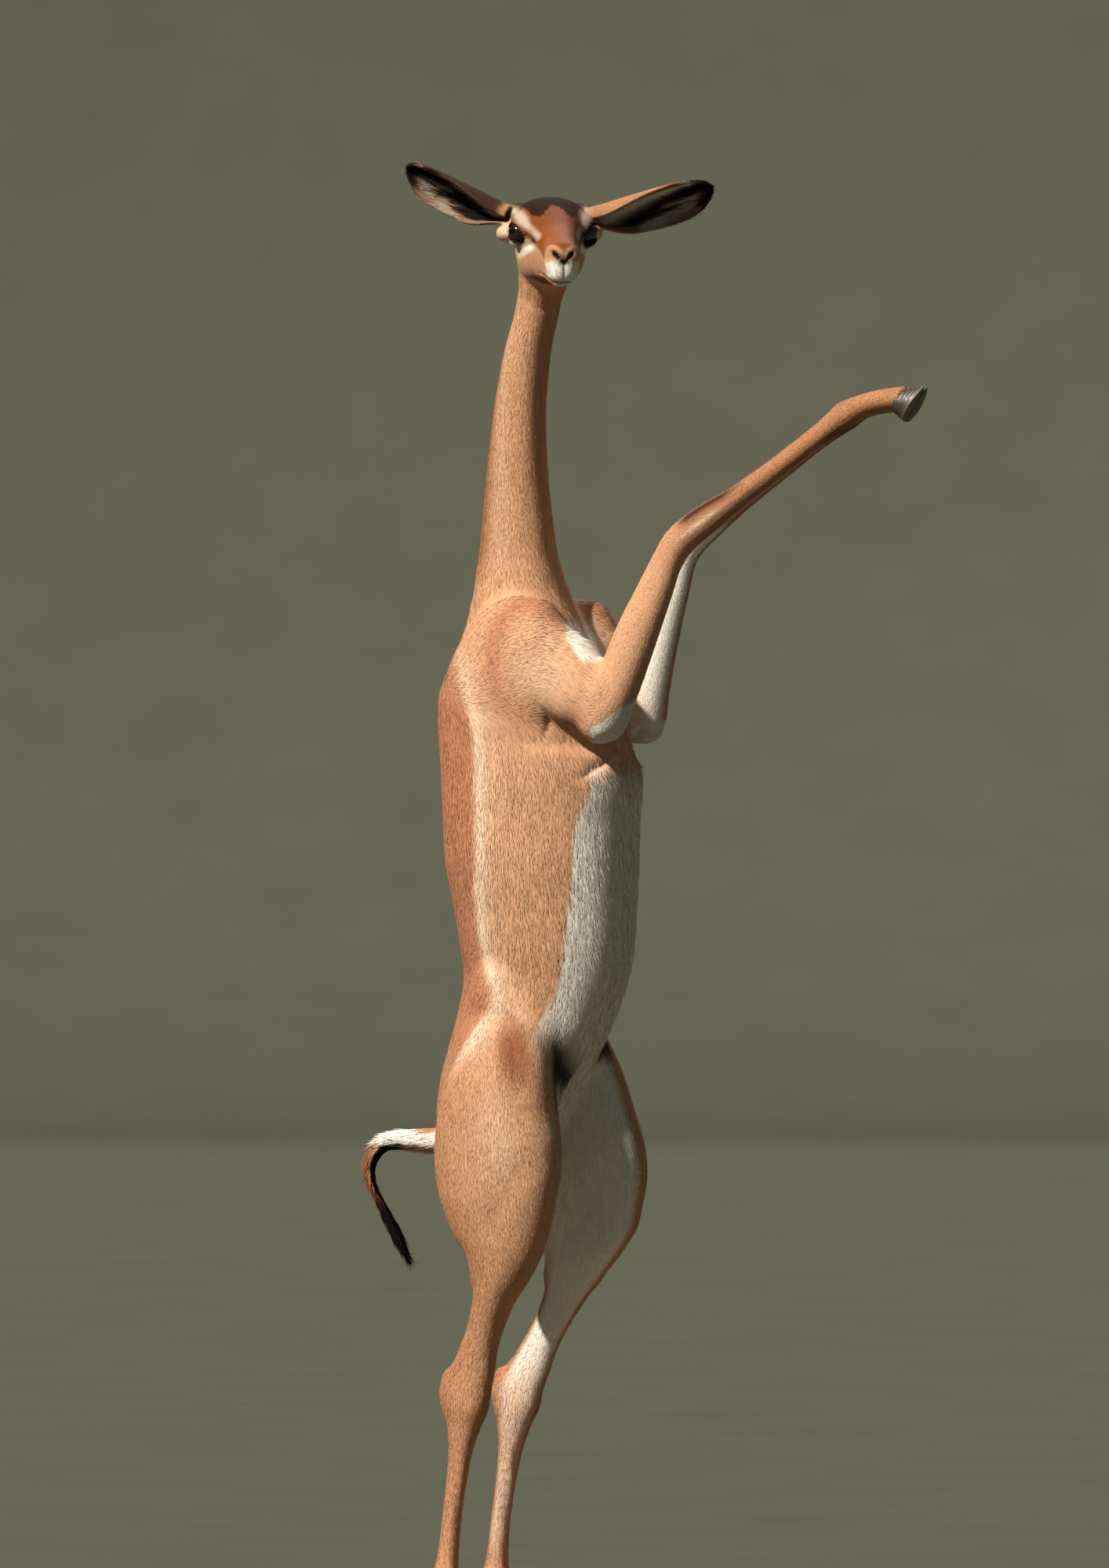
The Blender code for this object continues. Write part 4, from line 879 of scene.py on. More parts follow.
def spine_marks(z, angle, p):
    """A saddle over the back, a ragged-edged white belly, a white chest and a neck redder behind."""
    marks, front = blank(len(z)), np.cos(angle)
    neck = rise(z, 1.32, 1.42)
    ragged = 0.030 * waves(p * (1, 1, 0.22), 0.010, 22) + 0.015 * waves(p * (1, 1, 0.25), 0.004, 23)
    belly = rise(front - np.interp(z, *zip(*BELLY_EDGE)) + ragged, -0.022, 0.028) * fall(z, 1.092, 1.142)
    chest = rise(p[:, 0], 0.132, 0.150) * bell(z - 1.290, 0.026) * fall(z, 1.312, 1.322)
    marks["white"] = np.maximum(belly, chest)
    marks["rust"] = (0.22 + 0.60 * rise(-front, 0.15, 0.95)) * neck + 0.10 * (1 - neck)
    marks["saddle"] = 0.30 * rise(-front, 0.70, 1.0) * neck
    marks["pale"] = 0.20 * bell(front + 0.15, 0.35) * neck
    return flanked(saddled(marks, p), p)


def slanted(p):
    """How far to the right in the picture, with the left side mirrored to the right one."""
    return OBLIQUE[0] * p[:, 0] - OBLIQUE[1] * np.abs(p[:, 1])


def arm_marks(z, angle, p):
    """The shoulder: a duller brown cloud round a paler middle, and white where it meets the chest."""
    marks = blank(len(z))
    marks["saddle"] = 0.85 * along_path(p[:, (0, 2)], SHOULDER_CLOUD, 0.018)
    far = ((p[:, (0, 2)] - SHOULDER_MIDDLE) / SHOULDER_PALE) ** 2
    marks["pale"] = 0.40 * np.exp(-far[:, 0] - far[:, 1])
    slant = slanted(p)
    below = np.maximum(CHEST_LOW - p[:, 2], 0)
    white = rise(slant - CHEST_BACK - CHEST_SLOPE * below, 0.0, 0.005) * rise(p[:, 2], 1.257, 1.265)
    white *= fall(p[:, 2], CHEST_TOP, CHEST_TOP + 0.008) * fall(p[:, 0], 0.226, 0.236)
    outside = OBLIQUE[0] * p[:, 0] + OBLIQUE[1] * p[:, 1] - 0.1205
    open_side = fall(p[:, 2] - CHEST_TOP + 1.24 * outside, -0.002, 0.002)
    marks["white"] = white * np.where(p[:, 1] > 0, open_side, 1)
    marks["rust"] = np.full(len(z), 0.04)
    return saddled(elbowed(marks, p), p)


def elbowed(marks, p):
    """White under the elbow, below a line that rises towards its front."""
    slant = slanted(p)
    ragged = 0.0015 * waves(p, 0.007, 24)
    line = ELBOW_LINE[1] + ELBOW_SLOPE * (slant - ELBOW_LINE[0])
    white = rise(line - p[:, 2] + ragged, -0.002, 0.002) * rise(slant, 0.140, 0.150)
    deepen(marks, "white", white * rise(p[:, 2], 1.10, 1.12))
    return marks


def foreleg_marks(side):
    def marks_of(along, angle, p):
        """White inside from elbow to wrist, and a dark brush up the wrist's front with a pale streak."""
        marks, front = blank(len(along)), -np.cos(angle)
        inner = -side * np.sin(angle)
        turned = np.arctan2(side * np.sin(angle), front)
        marks["white"] = rise(inner, 0.05, 0.38) * fall(along, 0.285, 0.315)
        marks["pale"] = 0.5 * rise(inner, 0.1, 0.6) * rise(along, 0.29, 0.32)
        marks["pale"] += 0.85 * bell(turned - 1.75, 0.18) * bell(along - 0.300, 0.034)
        marks["pale"] += 0.50 * bell(turned - 2.35, 0.16) * bell(along - 0.340, 0.060)
        brush = bell(turned - 0.80, 0.50) * rise(along, 0.262, 0.285) * fall(along, 0.335, 0.385)
        streak = bell(turned, 0.4) * rise(along, 0.33, 0.37) * fall(along, 0.42, 0.50)
        marks["dark"] = 0.90 * brush + 0.30 * streak
        marks["dark"] += 0.45 * bell(along - 0.515, 0.02) * rise(-front, 0.3, 0.9)
        marks["rust"] = 0.12 + 0.45 * rise(along, 0.20, 0.34)
        return elbowed(marks, p)

    return marks_of


def hindleg_marks(side):
    def marks_of(z, angle, p):
        """White inside from groin to hock; redder behind; a pale patch of painted highlight on the thigh;
        dark streaks below.
        """
        marks = blank(len(z))
        inner, front = -side * np.sin(angle), np.cos(angle)
        marks["white"] = rise(inner, 0.10, 0.42) * (0.30 * rise(z, 0.10, 0.16) + 0.70 * rise(z, 0.30, 0.42))
        marks["white"] *= 1 - rise(-front, 0.35, 0.80) * fall(z, 0.44, 0.56)
        marks["rust"] = 0.24 * rise(-front, -0.1, 0.8) + 0.16 * fall(z, 0.42, 0.58) + 0.12
        # A painted highlight on the front of the thigh.
        marks["pale"] = 0.40 * bell(front - 0.30, 0.3) * bell(z - 0.655, 0.055)
        marks["dark"] = 0.30 * bell(angle, 0.5) * bell(z - 0.30, 0.05) + 0.5 * rise(-z, -0.10, -0.075)
        return flanked(saddled(marks, p, LEFT_HIND_AHEAD), p)

    return marks_of


def pastern_marks(along, angle, p):
    """Tan in front, darker behind and at the hoof."""
    marks = blank(len(along))
    marks["rust"] = np.full(len(along), 0.35)
    marks["dark"] = 0.35 * rise(np.cos(angle), 0.2, 0.9) + 0.35 * rise(along, 0.055, 0.075)
    return marks


def tail_marks(along, angle, p):
    """Red-brown on top of the root, white at the sides, rust outside the bend, black below and at the end."""
    marks = blank(len(along))
    top = np.cos(angle)
    root = rise(top, 0.45, 0.75) * fall(along, 0.040, 0.054)
    marks["saddle"] = root
    marks["white"] = rise(top, -0.70, -0.40) * (1 - root) * fall(along, 0.098, 0.116)
    marks["rust"] = rise(top, -0.3, 0.2) * (1 - 0.6 * bell(along - 0.075, 0.03))
    under = rise(-top, 0.15, 0.42) * rise(along, 0.055, 0.07)
    marks["dark"] = np.maximum(under, rise(along, 0.150, 0.195))
    return marks


def strip(q, ends, width, flat=0.55):
    """1 along a straight line between two places in the head's frame, fading over `width`."""
    spot = np.column_stack([q[:, 0] * flat, np.abs(q[:, 1]), q[:, 2]])
    a, b = (np.array(end) * (flat, 1, 1) for end in ends)
    share = np.clip(((spot - a) @ (b - a)) / ((b - a) @ (b - a)), 0, 1)
    return bell(np.linalg.norm(spot - a - share[:, None] * (b - a), axis=1), width)


# The dark crown's front edge: distance from the middle of the head, then forward.
CROWN_EDGE = ((0, 0.012), (0.006, 0.016), (0.014, 0.028), (0.020, 0.032), (0.028, 0.024), (0.036, -0.010))
# Strips of hair in the head's frame: their two ends, then their width.
BROW = (
    (((-0.020, 0.047, 0.030), (0.024, 0.040, 0.0160)), 0.0072),
    (((0.020, 0.041, 0.0165), (0.060, 0.0270, -0.0025)), 0.0054),
)
WEDGE = (
    (((0.016, 0.058, -0.0085), (-0.002, 0.047, -0.0290)), 0.0056),
    (((-0.002, 0.045, -0.0285), (0.046, 0.032, -0.0165)), 0.0044),
)
UNDER_EYE = ((((0.018, 0.044, -0.0110), (0.036, 0.036, -0.0130)), 0.0070),)
EYE_PIT = ((((0.030, 0.038, -0.0015), (0.050, 0.030, -0.0095)), 0.0046),)
CHEEK = ((((0.020, 0.042, -0.030), (0.075, 0.026, -0.030)), 0.014),)
EAR_ROOT = ((((-0.030, 0.056, 0.004), (-0.016, 0.058, -0.006)), 0.010),)


def strips(q, table):
    return np.max([strip(q, ends, width) for ends, width in table], axis=0)


def head_marks(along, angle, p):
    """A dark crown, an orange forehead, a white brow and wedge below the eye, a pale nose and white lips."""
    q = to_face(p)
    marks = blank(len(q))
    forehead_marks(marks, q)
    eye_marks(marks, q)
    muzzle_marks(marks, q)
    deepen(marks, "pale", 0.9 * strips(q, EAR_ROOT))
    return marks


def forehead_marks(marks, q):
    """The dark crown with its peak, and orange down the bridge of the nose, darker between the eyes."""
    u, v, w = q.T
    side = np.abs(v)
    ragged = 0.0040 * waves(q * (0.35, 1, 0.35), 0.0060, 31)
    peak = np.interp(side, *zip(*CROWN_EDGE)) + ragged
    crown_mark = rise(w, 0.014, 0.022) * fall(u, peak, peak + 0.008)
    marks["dark"] = 0.94 * np.maximum(crown_mark, rise(-u, 0.02, 0.05) * rise(w, 0.01, 0.025))
    end = 0.120 - 0.9 * side
    bridge = rise(u, -0.03, 0.0) * fall(u - end, -0.006, 0.004) * rise(w + 0.42 * u, 0.004, 0.016)
    marks["rust"] = 1.1 * bridge
    deepen(marks, "dark", (0.16 + 0.22 * fall(u, 0.045, 0.070)) * bridge)


def eye_marks(marks, q):
    """A pale brow, a white wedge with grey hair over it, and a black rim and pit; the rim is wider on the
    left as painted shadow.
    """
    brow = np.clip(1.5 * strips(q, BROW) - 0.1, 0, 1)
    wedge = np.clip(1.6 * strips(q, WEDGE) - 0.1, 0, 1)
    marks["rust"] *= 1 - np.maximum(brow, wedge)
    marks["dark"] *= 1 - 0.9 * brow
    marks["grey"] = np.maximum(0.62 * brow, 0.75 * strips(q, UNDER_EYE))
    marks["white"] = np.maximum(0.25 * brow, wedge)
    eye = np.linalg.norm(eye_slot(q, 0) / (EYE_SLOT_SIZE + 0.0014), axis=1)
    # The rim is wider round the left eye: painted shadow on that side of the face.
    rim = np.where(q[:, 1] > 0, fall(eye, 1.16, 1.52), fall(eye, 1.04, 1.14))
    deepen(marks, "dark", np.maximum(strips(q, EYE_PIT), rim))


def muzzle_marks(marks, q):
    """White lips and chin, black nostrils and mouth, an orange pad and cheek, and a red-brown jaw underneath,
    darkened by painted shade.
    """
    u, v, w = q.T
    side = np.abs(v)
    lips = rise(u, 0.060, 0.085) * rise(-w, 0.030, 0.038)
    chin = rise(u, 0.062, 0.082) * rise(-w, 0.0585, 0.064)
    deepen(marks, "white", np.maximum(lips * rise(u, 0.092, 0.106), chin))
    nostril = bell(side - 0.0090 - 0.55 * (w + 0.0262), 0.0046) * bell(w + 0.0262, 0.0066)
    split = bell(side, 0.0070) * bell(w + 0.0326, 0.0046)
    nose = np.clip(1.5 * np.maximum(nostril, split) * rise(u, 0.100, 0.107), 0, 1)
    deepen(marks, "rust", 0.40 * rise(u, 0.080, 0.100) * rise(w, -0.034, -0.026))
    parting = bell(v, 0.0022) * rise(u, 0.100, 0.108) * rise(-w, 0.026, 0.031) * fall(-w, 0.050, 0.056)
    line = bell(w - mouth_height(u), 0.0017) * rise(u, 0.048, 0.058)
    deepen(marks, "dark", np.maximum(np.maximum(nose, 0.8 * parting), 0.9 * line))
    # Under the jaw: red-brown, darkened by painted shade.
    jaw = rise(-w, 0.050, 0.057) * fall(u, 0.060, 0.084) * rise(u, -0.02, 0.02)
    deepen(marks, "dark", 0.40 * jaw)
    deepen(marks, "rust", 0.8 * jaw)
    deepen(marks, "grey", 0.55 * lips * rise(u, 0.098, 0.108) * bell(side - 0.004, 0.008))
    deepen(marks, "rust", 0.22 * strips(q, CHEEK) * (1 - marks["white"]))
    marks["pale"] = 0.10 * bell(side - 0.020, 0.007) * rise(u, 0.075, 0.095)
    deepen(marks, "grey", 0.55 * bell(side, 0.010) * rise(u, 0.110, 0.118) * bell(w + 0.0255, 0.006))


# Inside the ears: black streaks and whitish rows, each a width, then points of share along and across.
EAR_BLACK_RIGHT = (
    (0.0034, ((0.84, 0.17), (0.68, 0.07), (0.53, -0.07))),
    (0.0060, ((0.68, -0.49), (0.52, -0.31), (0.34, -0.35), (0.15, -0.69))),
    (0.0036, ((0.52, -0.74), (0.37, -0.66))),
)
EAR_GREY_RIGHT = (
    (0.0072, ((0.84, -0.25), (0.70, -0.20), (0.58, -0.16))),
    (0.0085, ((0.80, -0.60), (0.66, -0.74), (0.50, -0.92))),
)
EAR_BLACK_LEFT = (
    (0.0062, ((0.16, -0.80), (0.33, -0.61), (0.50, -0.31), (0.66, -0.08), (0.84, 0.02))),
    (0.0040, ((0.40, -0.62), (0.56, -0.48), (0.70, -0.40))),
)
EAR_GREY_LEFT = (
    (0.0085, ((0.44, -0.92), (0.61, -0.66), (0.80, -0.52))),
    (0.0068, ((0.62, -0.32), (0.74, -0.26), (0.86, -0.20))),
)
EAR_SPAN, EAR_HALF = 0.155, 0.036
# The edge between the ear's fold and its hollow: share of the length, then place across.
EAR_EDGE = ((0.10, -0.50), (0.20, -0.33), (0.30, -0.10), (0.44, 0.12), (0.65, 0.60), (0.78, 0.95))
# How each ear differs, right then left: the ridge's width and whiteness, the rows' whiteness, the lower
# rim's start and end, the brown outside and the rust outside.
EAR_LOOKS = ((0.085, 0.65, 0.16, (0.84, 0.97), 0.92, 0.30), (0.26, 1.0, 0.50, (0.72, 0.90), 0.10, 0.45))


def on_ear(spots, table):
    """How near each spot is to the nearest streak in a table, from 0 to 1."""
    return np.max([along_path(spots, np.array(rows) * (EAR_SPAN, EAR_HALF), w) for w, rows in table], axis=0)


def ear_marks(left):
    black, pale_rows = (EAR_BLACK_LEFT, EAR_GREY_LEFT) if left else (EAR_BLACK_RIGHT, EAR_GREY_RIGHT)
    ridge_width, ridge_white, row_white, lower_rim, brown, rusty = EAR_LOOKS[left]

    def marks_of(share, across, p):
        """Brown outside with a black tip; black inside, past a pale ridge, with rows of whitish hair."""
        marks = blank(len(share))
        inner = (across > HOLLOW_SIDE / 2).astype(float)
        across = across - HOLLOW_SIDE * inner
        spots = np.column_stack([share * EAR_SPAN, across * EAR_HALF])
        past = across - np.interp(share, *zip(*EAR_EDGE))
        hollow = inner * fall(past, -0.06, 0.02)
        ridge = inner * bell(past + 0.01, ridge_width) * rise(share, 0.05, 0.15) * fall(share, 0.74, 0.86)
        tip = np.where(inner > 0, rise(share, 0.82, 0.92), rise(share, 0.70, 0.82))
        rim = rise(np.abs(across), 0.86, 0.98)
        combed = 0.72 + 0.45 * waves(np.column_stack([spots * (0.12, 1), share * 0]), 0.0030, 41)
        rows = on_ear(spots, pale_rows) * combed * (1 - on_ear(spots, black))
        rows = np.clip(1.4 * rows, 0, 1) * hollow
        lower = inner * rise(-across, *lower_rim) * rise(share, 0.0, 0.1)
        outside = np.maximum(1 - inner, inner * rise(past, 0.03, 0.14))
        browned = outside * np.maximum(brown * rise(share, -0.02, 0.08), tip)
        marks["dark"] = np.maximum(hollow * (1 - rows) * (1 - lower), browned)
        marks["dark"] = np.maximum(marks["dark"], 0.95 * tip) * (1 - ridge)
        marks["grey"] = np.maximum(rows, 0.7 * lower * (1 - tip))
        marks["white"] = np.maximum(row_white * rows, ridge_white * ridge)
        marks["rust"] = (outside * rusty + lower * 0.55 + rim * rise(share, 0.5, 0.8)) * (1 - tip)
        return marks

    return marks_of


# Every limb that carries coat: its kind, its shape, its marks, and the width over which its marks give way.
LAYOUT = [("trunk", SPINE, spine_marks, 0.009)]
for SIDE, LIMBS in zip((-1, 1), SIDED):
    LAYOUT += [
        ("arm", LIMBS["shoulder"], arm_marks, 0.009),
        ("arm", LIMBS["arm"], arm_marks, 0.009),
        ("foreleg", LIMBS["foreleg"], foreleg_marks(SIDE), 0.009),
        ("hindleg", LIMBS["hindleg"], hindleg_marks(SIDE), 0.009),
        ("hindleg", LIMBS["pastern"], pastern_marks, 0.006),
    ]
LAYOUT += [("tail", TAIL_LIMB, tail_marks, 0.004), ("head", HEAD_LIMB, head_marks, 0.004)]
LAYOUT += [("ear", EARS[0], ear_marks(False), 0.0015), ("ear", EARS[1], ear_marks(True), 0.0015)]
# How wide the grain is drawn round each kind of limb.
GIRTH = {
    "trunk": 0.090, "arm": 0.050, "foreleg": 0.020, "hindleg": 0.040,
    "tail": 0.012, "head": 0.040, "ear": 0.030,
}


def reading(p):
    """Each point's marks, lie of the hair, share of each kind, grain and place on an unwrap.

    A limb counts by exp(-distance / width). The grain is the point's place on a straightened limb, so that
    noise read there, squeezed along it, makes streaks that follow the hair. The unwrap is the angle round
    the limb as a share of a turn, and the way along it.
    """
    weights, marks, lies, grains, unwraps = [], [], [], [], []
    for number, (kind, limb, marks_of, width) in enumerate(LAYOUT):
        value, along, angle, lie = limb.lay(p)
        weights.append(np.exp(-np.clip(value, -0.03, 0.2) / width))
        found = marks_of(along, angle, p)
        marks.append(np.stack([found[name] for name in MARKS], axis=1))
        lies.append(lie)
        if kind == "ear":
            inner = angle > HOLLOW_SIDE / 2
            turn = (angle - HOLLOW_SIDE * inner + 1) / 4 + 0.5 * inner
            along = along * EAR_SPAN
        else:
            turn = angle / (2 * np.pi) + 0.5
        girth = GIRTH[kind]
        grains.append(np.stack([np.cos(angle) * girth, np.sin(angle) * girth, along + number], axis=1))
        unwraps.append(np.stack([turn, along], axis=1))
    weights = np.array(weights)
    weights /= weights.sum(axis=0)
    shares = {
        kind: sum(w for w, row in zip(weights, LAYOUT) if row[0] == kind) for kind in KINDS if kind != "neck"
    }
    neck = rise(p[:, 2], 1.33, 1.42)
    shares["neck"], shares["trunk"] = shares["trunk"] * neck, shares["trunk"] * (1 - neck)
    best, pick = weights.argmax(axis=0), np.arange(len(p))
    return {
        "marks": np.einsum("ln,lnm->nm", weights, np.array(marks)),
        "lie": unit(np.einsum("ln,lnc->nc", weights, np.array(lies))),
        "grain": np.array(grains)[best, pick],
        "unwrap": np.array(unwraps)[best, pick],
        "kinds": np.stack([shares[kind] for kind in KINDS], axis=1),
        "limb": best,
    }


class Value:
    """A shader socket that takes part in sums: an expression on it adds the Math nodes that work it out."""

    def __init__(self, tree, socket):
        self.tree, self.socket = tree, socket

    def maths(self, operation, *others, clamp=False):
        return self.tree.node("ShaderNodeMath", {"operation": operation, "use_clamp": clamp}, *others)

    def __add__(self, other):
        return self.maths("ADD", self, other)

    def __sub__(self, other):
        return self.maths("SUBTRACT", self, other)

    def __rsub__(self, other):
        return self.maths("SUBTRACT", other, self)

    def __mul__(self, other):
        return self.maths("MULTIPLY", self, other)

    def clamped(self):
        return self.maths("ADD", self, 0.0, clamp=True)

    __radd__, __rmul__ = __add__, __mul__


class Finish:
    """A material, with one way to add any node: type, settings, then its sockets' values or links."""

    def __init__(self, name):
        self.material = bpy.data.materials.new(name)
        self.material.use_nodes = True
        self.nodes, self.links = self.material.node_tree.nodes, self.material.node_tree.links
        self.shader = self.nodes["Principled BSDF"]

    def fill(self, socket, value):
        if isinstance(value, Value):
            self.links.new(value.socket, socket)
        elif value is not None:
            socket.default_value = value

    def node(self, kind, settings=None, *values, out=0, **named):
        """Add a node and return the output that is asked for."""
        node = self.nodes.new(kind)
        for key, value in (settings or {}).items():
            setattr(node, key, value)
        for socket, value in zip(node.inputs, values):
            self.fill(socket, value)
        for key, value in named.items():
            self.fill(node.inputs[key.replace("_", " ")], value)
        return Value(self, node.outputs[out])

    def read(self, name):
        return self.node("ShaderNodeAttribute", {"attribute_name": name}, out="Vector")

    def place(self):
        return self.node("ShaderNodeTexCoord", out="Object")

    def parts(self, vector):
        first = self.node("ShaderNodeSeparateXYZ", None, vector)
        return [Value(self, socket) for socket in first.socket.node.outputs]

    def mixed(self, share, a, b, blend="MIX"):
        """Two colours mixed: sockets 6 and 7 of a Mix node set to colours."""
        node = self.nodes.new("ShaderNodeMix")
        node.data_type, node.blend_type = "RGBA", blend
        for index, value in ((0, share), (6, a), (7, b)):
            self.fill(node.inputs[index], value if isinstance(value, (Value, float)) else (*value, 1))
        return Value(self, node.outputs[2])

    def noise(self, where, scale, detail=2.0, rough=0.5):
        return self.node("ShaderNodeTexNoise", {"noise_dimensions": "3D"}, Vector=where, Scale=scale,
                         Detail=detail, Roughness=rough)

    def stretched(self, where, scale):
        return self.node("ShaderNodeVectorMath", {"operation": "MULTIPLY"}, where, scale)

    def between(self, value, low, high, start=0.0, end=1.0):
        settings = {"interpolation_type": "SMOOTHSTEP"}
        return self.node("ShaderNodeMapRange", settings, value, low, high, start, end)

    def set(self, **values):
        for key, value in values.items():
            self.fill(self.shader.inputs[key.replace("_", " ")], value)
        return self.material


COLOURS = {
    "tan": (0.690, 0.385, 0.220),
    "saddle": (0.500, 0.215, 0.118),
    "pale": (0.820, 0.590, 0.410),
    "white": (0.880, 0.830, 0.720),
    "dark": (0.006, 0.005, 0.004),
    "rust": (0.300, 0.085, 0.018),
    "grey": (0.180, 0.155, 0.122),
}


def coat_finish(name, strength):
    """Fur: marks laid over tan one by one, streaked along the hair and mottled, each tuft a bit apart."""
    coat = Finish(name)
    grain = coat.read("grain")
    shade, tip, clump = coat.parts(coat.read("fibre"))
    saddle, pale, white = coat.parts(coat.read("marks_a"))
    dark, rust, grey = coat.parts(coat.read("marks_b"))
    colour = coat.mixed(rust.clamped(), COLOURS["tan"], COLOURS["rust"])
    for mask, key in ((saddle, "saddle"), (pale, "pale"), (grey, "grey"), (white, "white"), (dark, "dark")):
        colour = coat.mixed(mask.clamped(), colour, COLOURS[key])
    streaks = coat.noise(coat.stretched(grain, (1, 1, 0.30)), 230.0, 3.0, 0.6)
    patches = coat.noise(coat.stretched(grain, (1, 1, 0.5)), 34.0, 2.0)
    light = (streaks - 0.5) * 0.44 + (patches - 0.5) * 0.46 + (shade - 0.5) * 0.18
    light = light + (tip - 0.5) * 0.18 + clump * 0.06
    light = light * (1.0 - white.clamped() * 0.50)
    lit = coat.mixed(coat.between(light, 0.0, 0.5, 0.0, 0.45), colour, (1.0, 0.90, 0.78), "SOFT_LIGHT")
    shaded = coat.mixed(coat.between(light * -1.0, 0.0, 0.5, 0.0, 0.70), lit, (0.34, 0.22, 0.17), "MULTIPLY")
    fine = coat.noise(coat.stretched(grain, (1, 1, 0.10)), 640.0, 2.0, 0.6)
    bump = coat.node("ShaderNodeBump", None, Strength=strength, Distance=0.0012,
                     Height=fine * 0.7 + streaks * 0.6 + patches * 0.3)
    rough = coat.between(dark - shade * 0.3, 0.0, 0.9, 0.62, 0.82)
    return coat.set(Base_Color=shaded, Roughness=rough, Normal=bump, Specular_IOR_Level=0.07)


def eye_finish():
    """A near-black brown iris with faint rays, a wide level pupil, and a wet surface."""
    eye = Finish("eye")
    level, upright, forward = eye.parts(eye.read("gaze"))
    rays = eye.noise(eye.stretched(eye.read("gaze"), (1, 1, 0.2)), 9.0, 3.0)
    ring = eye.node("ShaderNodeMath", {"operation": "SQRT"}, level * level + upright * upright)
    pupil = eye.node("ShaderNodeMath", {"operation": "SQRT"}, level * level * 0.30 + upright * upright)
    iris = eye.mixed(rays, (0.010, 0.005, 0.003), (0.026, 0.012, 0.006))
    iris = eye.mixed(eye.between(ring, 0.62, 0.78), iris, (0.006, 0.004, 0.004))
    colour = eye.mixed(eye.between(pupil, 0.24, 0.31), (0.002, 0.002, 0.003), iris)
    return eye.set(Base_Color=colour, Roughness=0.04, Coat_Weight=0.6, Coat_Roughness=0.03, IOR=1.38)


def horn_finish():
    """Hoof horn: dark brown-grey, paler to the sole, with growth bands round it and fine fibres down it."""
    horn = Finish("horn")
    turn, rise_up, _ = horn.parts(horn.read("growth"))
    bands = horn.noise(horn.stretched(horn.read("growth"), (0.6, 14.0, 1.0)), 1.0, 2.0)
    fibres = horn.noise(horn.stretched(horn.read("growth"), (26.0, 1.2, 1.0)), 1.0, 3.0)
    worn = horn.noise(horn.place(), 160.0, 3.0)
    colour = horn.mixed(bands, (0.018, 0.013, 0.010), (0.070, 0.050, 0.036))
    sole = horn.between(rise_up + (worn - 0.5) * 0.3, 0.02, 0.30, 0.7, 0.0)
    colour = horn.mixed(sole, colour, (0.16, 0.12, 0.085))
    colour = horn.mixed(horn.between(fibres, 0.4, 0.7, 0.0, 0.35), colour, (0.10, 0.075, 0.055))
    bump = horn.node("ShaderNodeBump", None, Strength=0.5, Distance=0.0006, Height=bands * 0.6 + fibres * 0.4)
    return horn.set(Base_Color=colour, Roughness=horn.between(worn, 0.3, 0.7, 0.34, 0.55), Normal=bump)


def wood_finish():
    """An oiled oak plate: long grain along its length, and paler pores."""
    wood = Finish("oak")
    here = wood.place()
    bend = wood.noise(wood.stretched(here, (1.2, 5.0, 5.0)), 1.6, 2.0)
    rings = wood.node("ShaderNodeTexWave", {"wave_type": "BANDS", "bands_direction": "Y"}, out="Fac",
                      Vector=wood.stretched(here, (0.25, 1, 1)), Scale=9.0, Distortion=bend * 9.0, Detail=3.0)
    pores = wood.noise(wood.stretched(here, (5.0, 130.0, 130.0)), 3.0, 2.0, 0.7)
    colour = wood.mixed(rings, (0.262, 0.172, 0.100), (0.318, 0.215, 0.131))
    colour = wood.mixed(wood.between(pores, 0.52, 0.70, 0.0, 0.55), colour, (0.110, 0.065, 0.035))
    bump = wood.node("ShaderNodeBump", None, Strength=0.35, Distance=0.0004, Height=1.0 - pores)
    return wood.set(Base_Color=colour, Roughness=wood.between(pores, 0.3, 0.7, 0.36, 0.52), Normal=bump)


def dressed(mesh, marks, grain, fibre):
    """Store what the coat's material reads: two threes of marks, the grain, and shade, tip and clump."""
    attribute(mesh, "marks_a", marks[:, :3])
    attribute(mesh, "marks_b", marks[:, 3:])
    attribute(mesh, "grain", grain)
    attribute(mesh, "fibre", fibre)


# Short tufts by kind of limb: length, width and rise of the tip in millimetres, and how close they stand.
TUFTS = {
    "trunk": (12.0, 1.5, 1.9, 1.00),
    "neck": (9.0, 1.3, 1.4, 1.05),
    "arm": (10.5, 1.5, 1.6, 1.00),
    "foreleg": (6.5, 1.1, 0.8, 0.95),
    "hindleg": (8.5, 1.4, 1.2, 1.00),
    "tail": (15.0, 1.5, 2.5, 1.30),
    "head": (4.6, 0.85, 0.55, 0.90),
    "ear": (4.2, 0.85, 0.45, 0.80),
}
TUFT_TABLE = np.array([TUFTS[kind] for kind in KINDS])
# How many times the tufts cover the hide, the share of its length times width that a tuft hides, and the
# most tufts in one piece.
COVER, TUFT_FILL, MOST_TUFTS = 1.15, 0.55, 45_000
# The side of a sliver's patch on the map, as a share of the map.
PATCH = 0.003
# The neck's coat starts at this height.
NECK_COAT = 1.375
# Long hair: length, width and rise in millimetres, then the most to a square metre.
LONG_HAIR = {
    "hair_belly": ((24.0, 1.6, 2.6), 42_000),
    "hair_tail": ((26.0, 1.3, 3.2), 60_000),
    "hair_ears": ((15.0, 0.8, 2.2), 90_000),
}
TAIL_END_MORE, HAIR_RINGS = 1.5, 3


def faces_of(mesh):
    mesh.calc_loop_triangles()
    corners = np.empty(len(mesh.loop_triangles) * 3, np.int32)
    mesh.loop_triangles.foreach_get("vertices", corners)
    return corners.reshape(-1, 3)


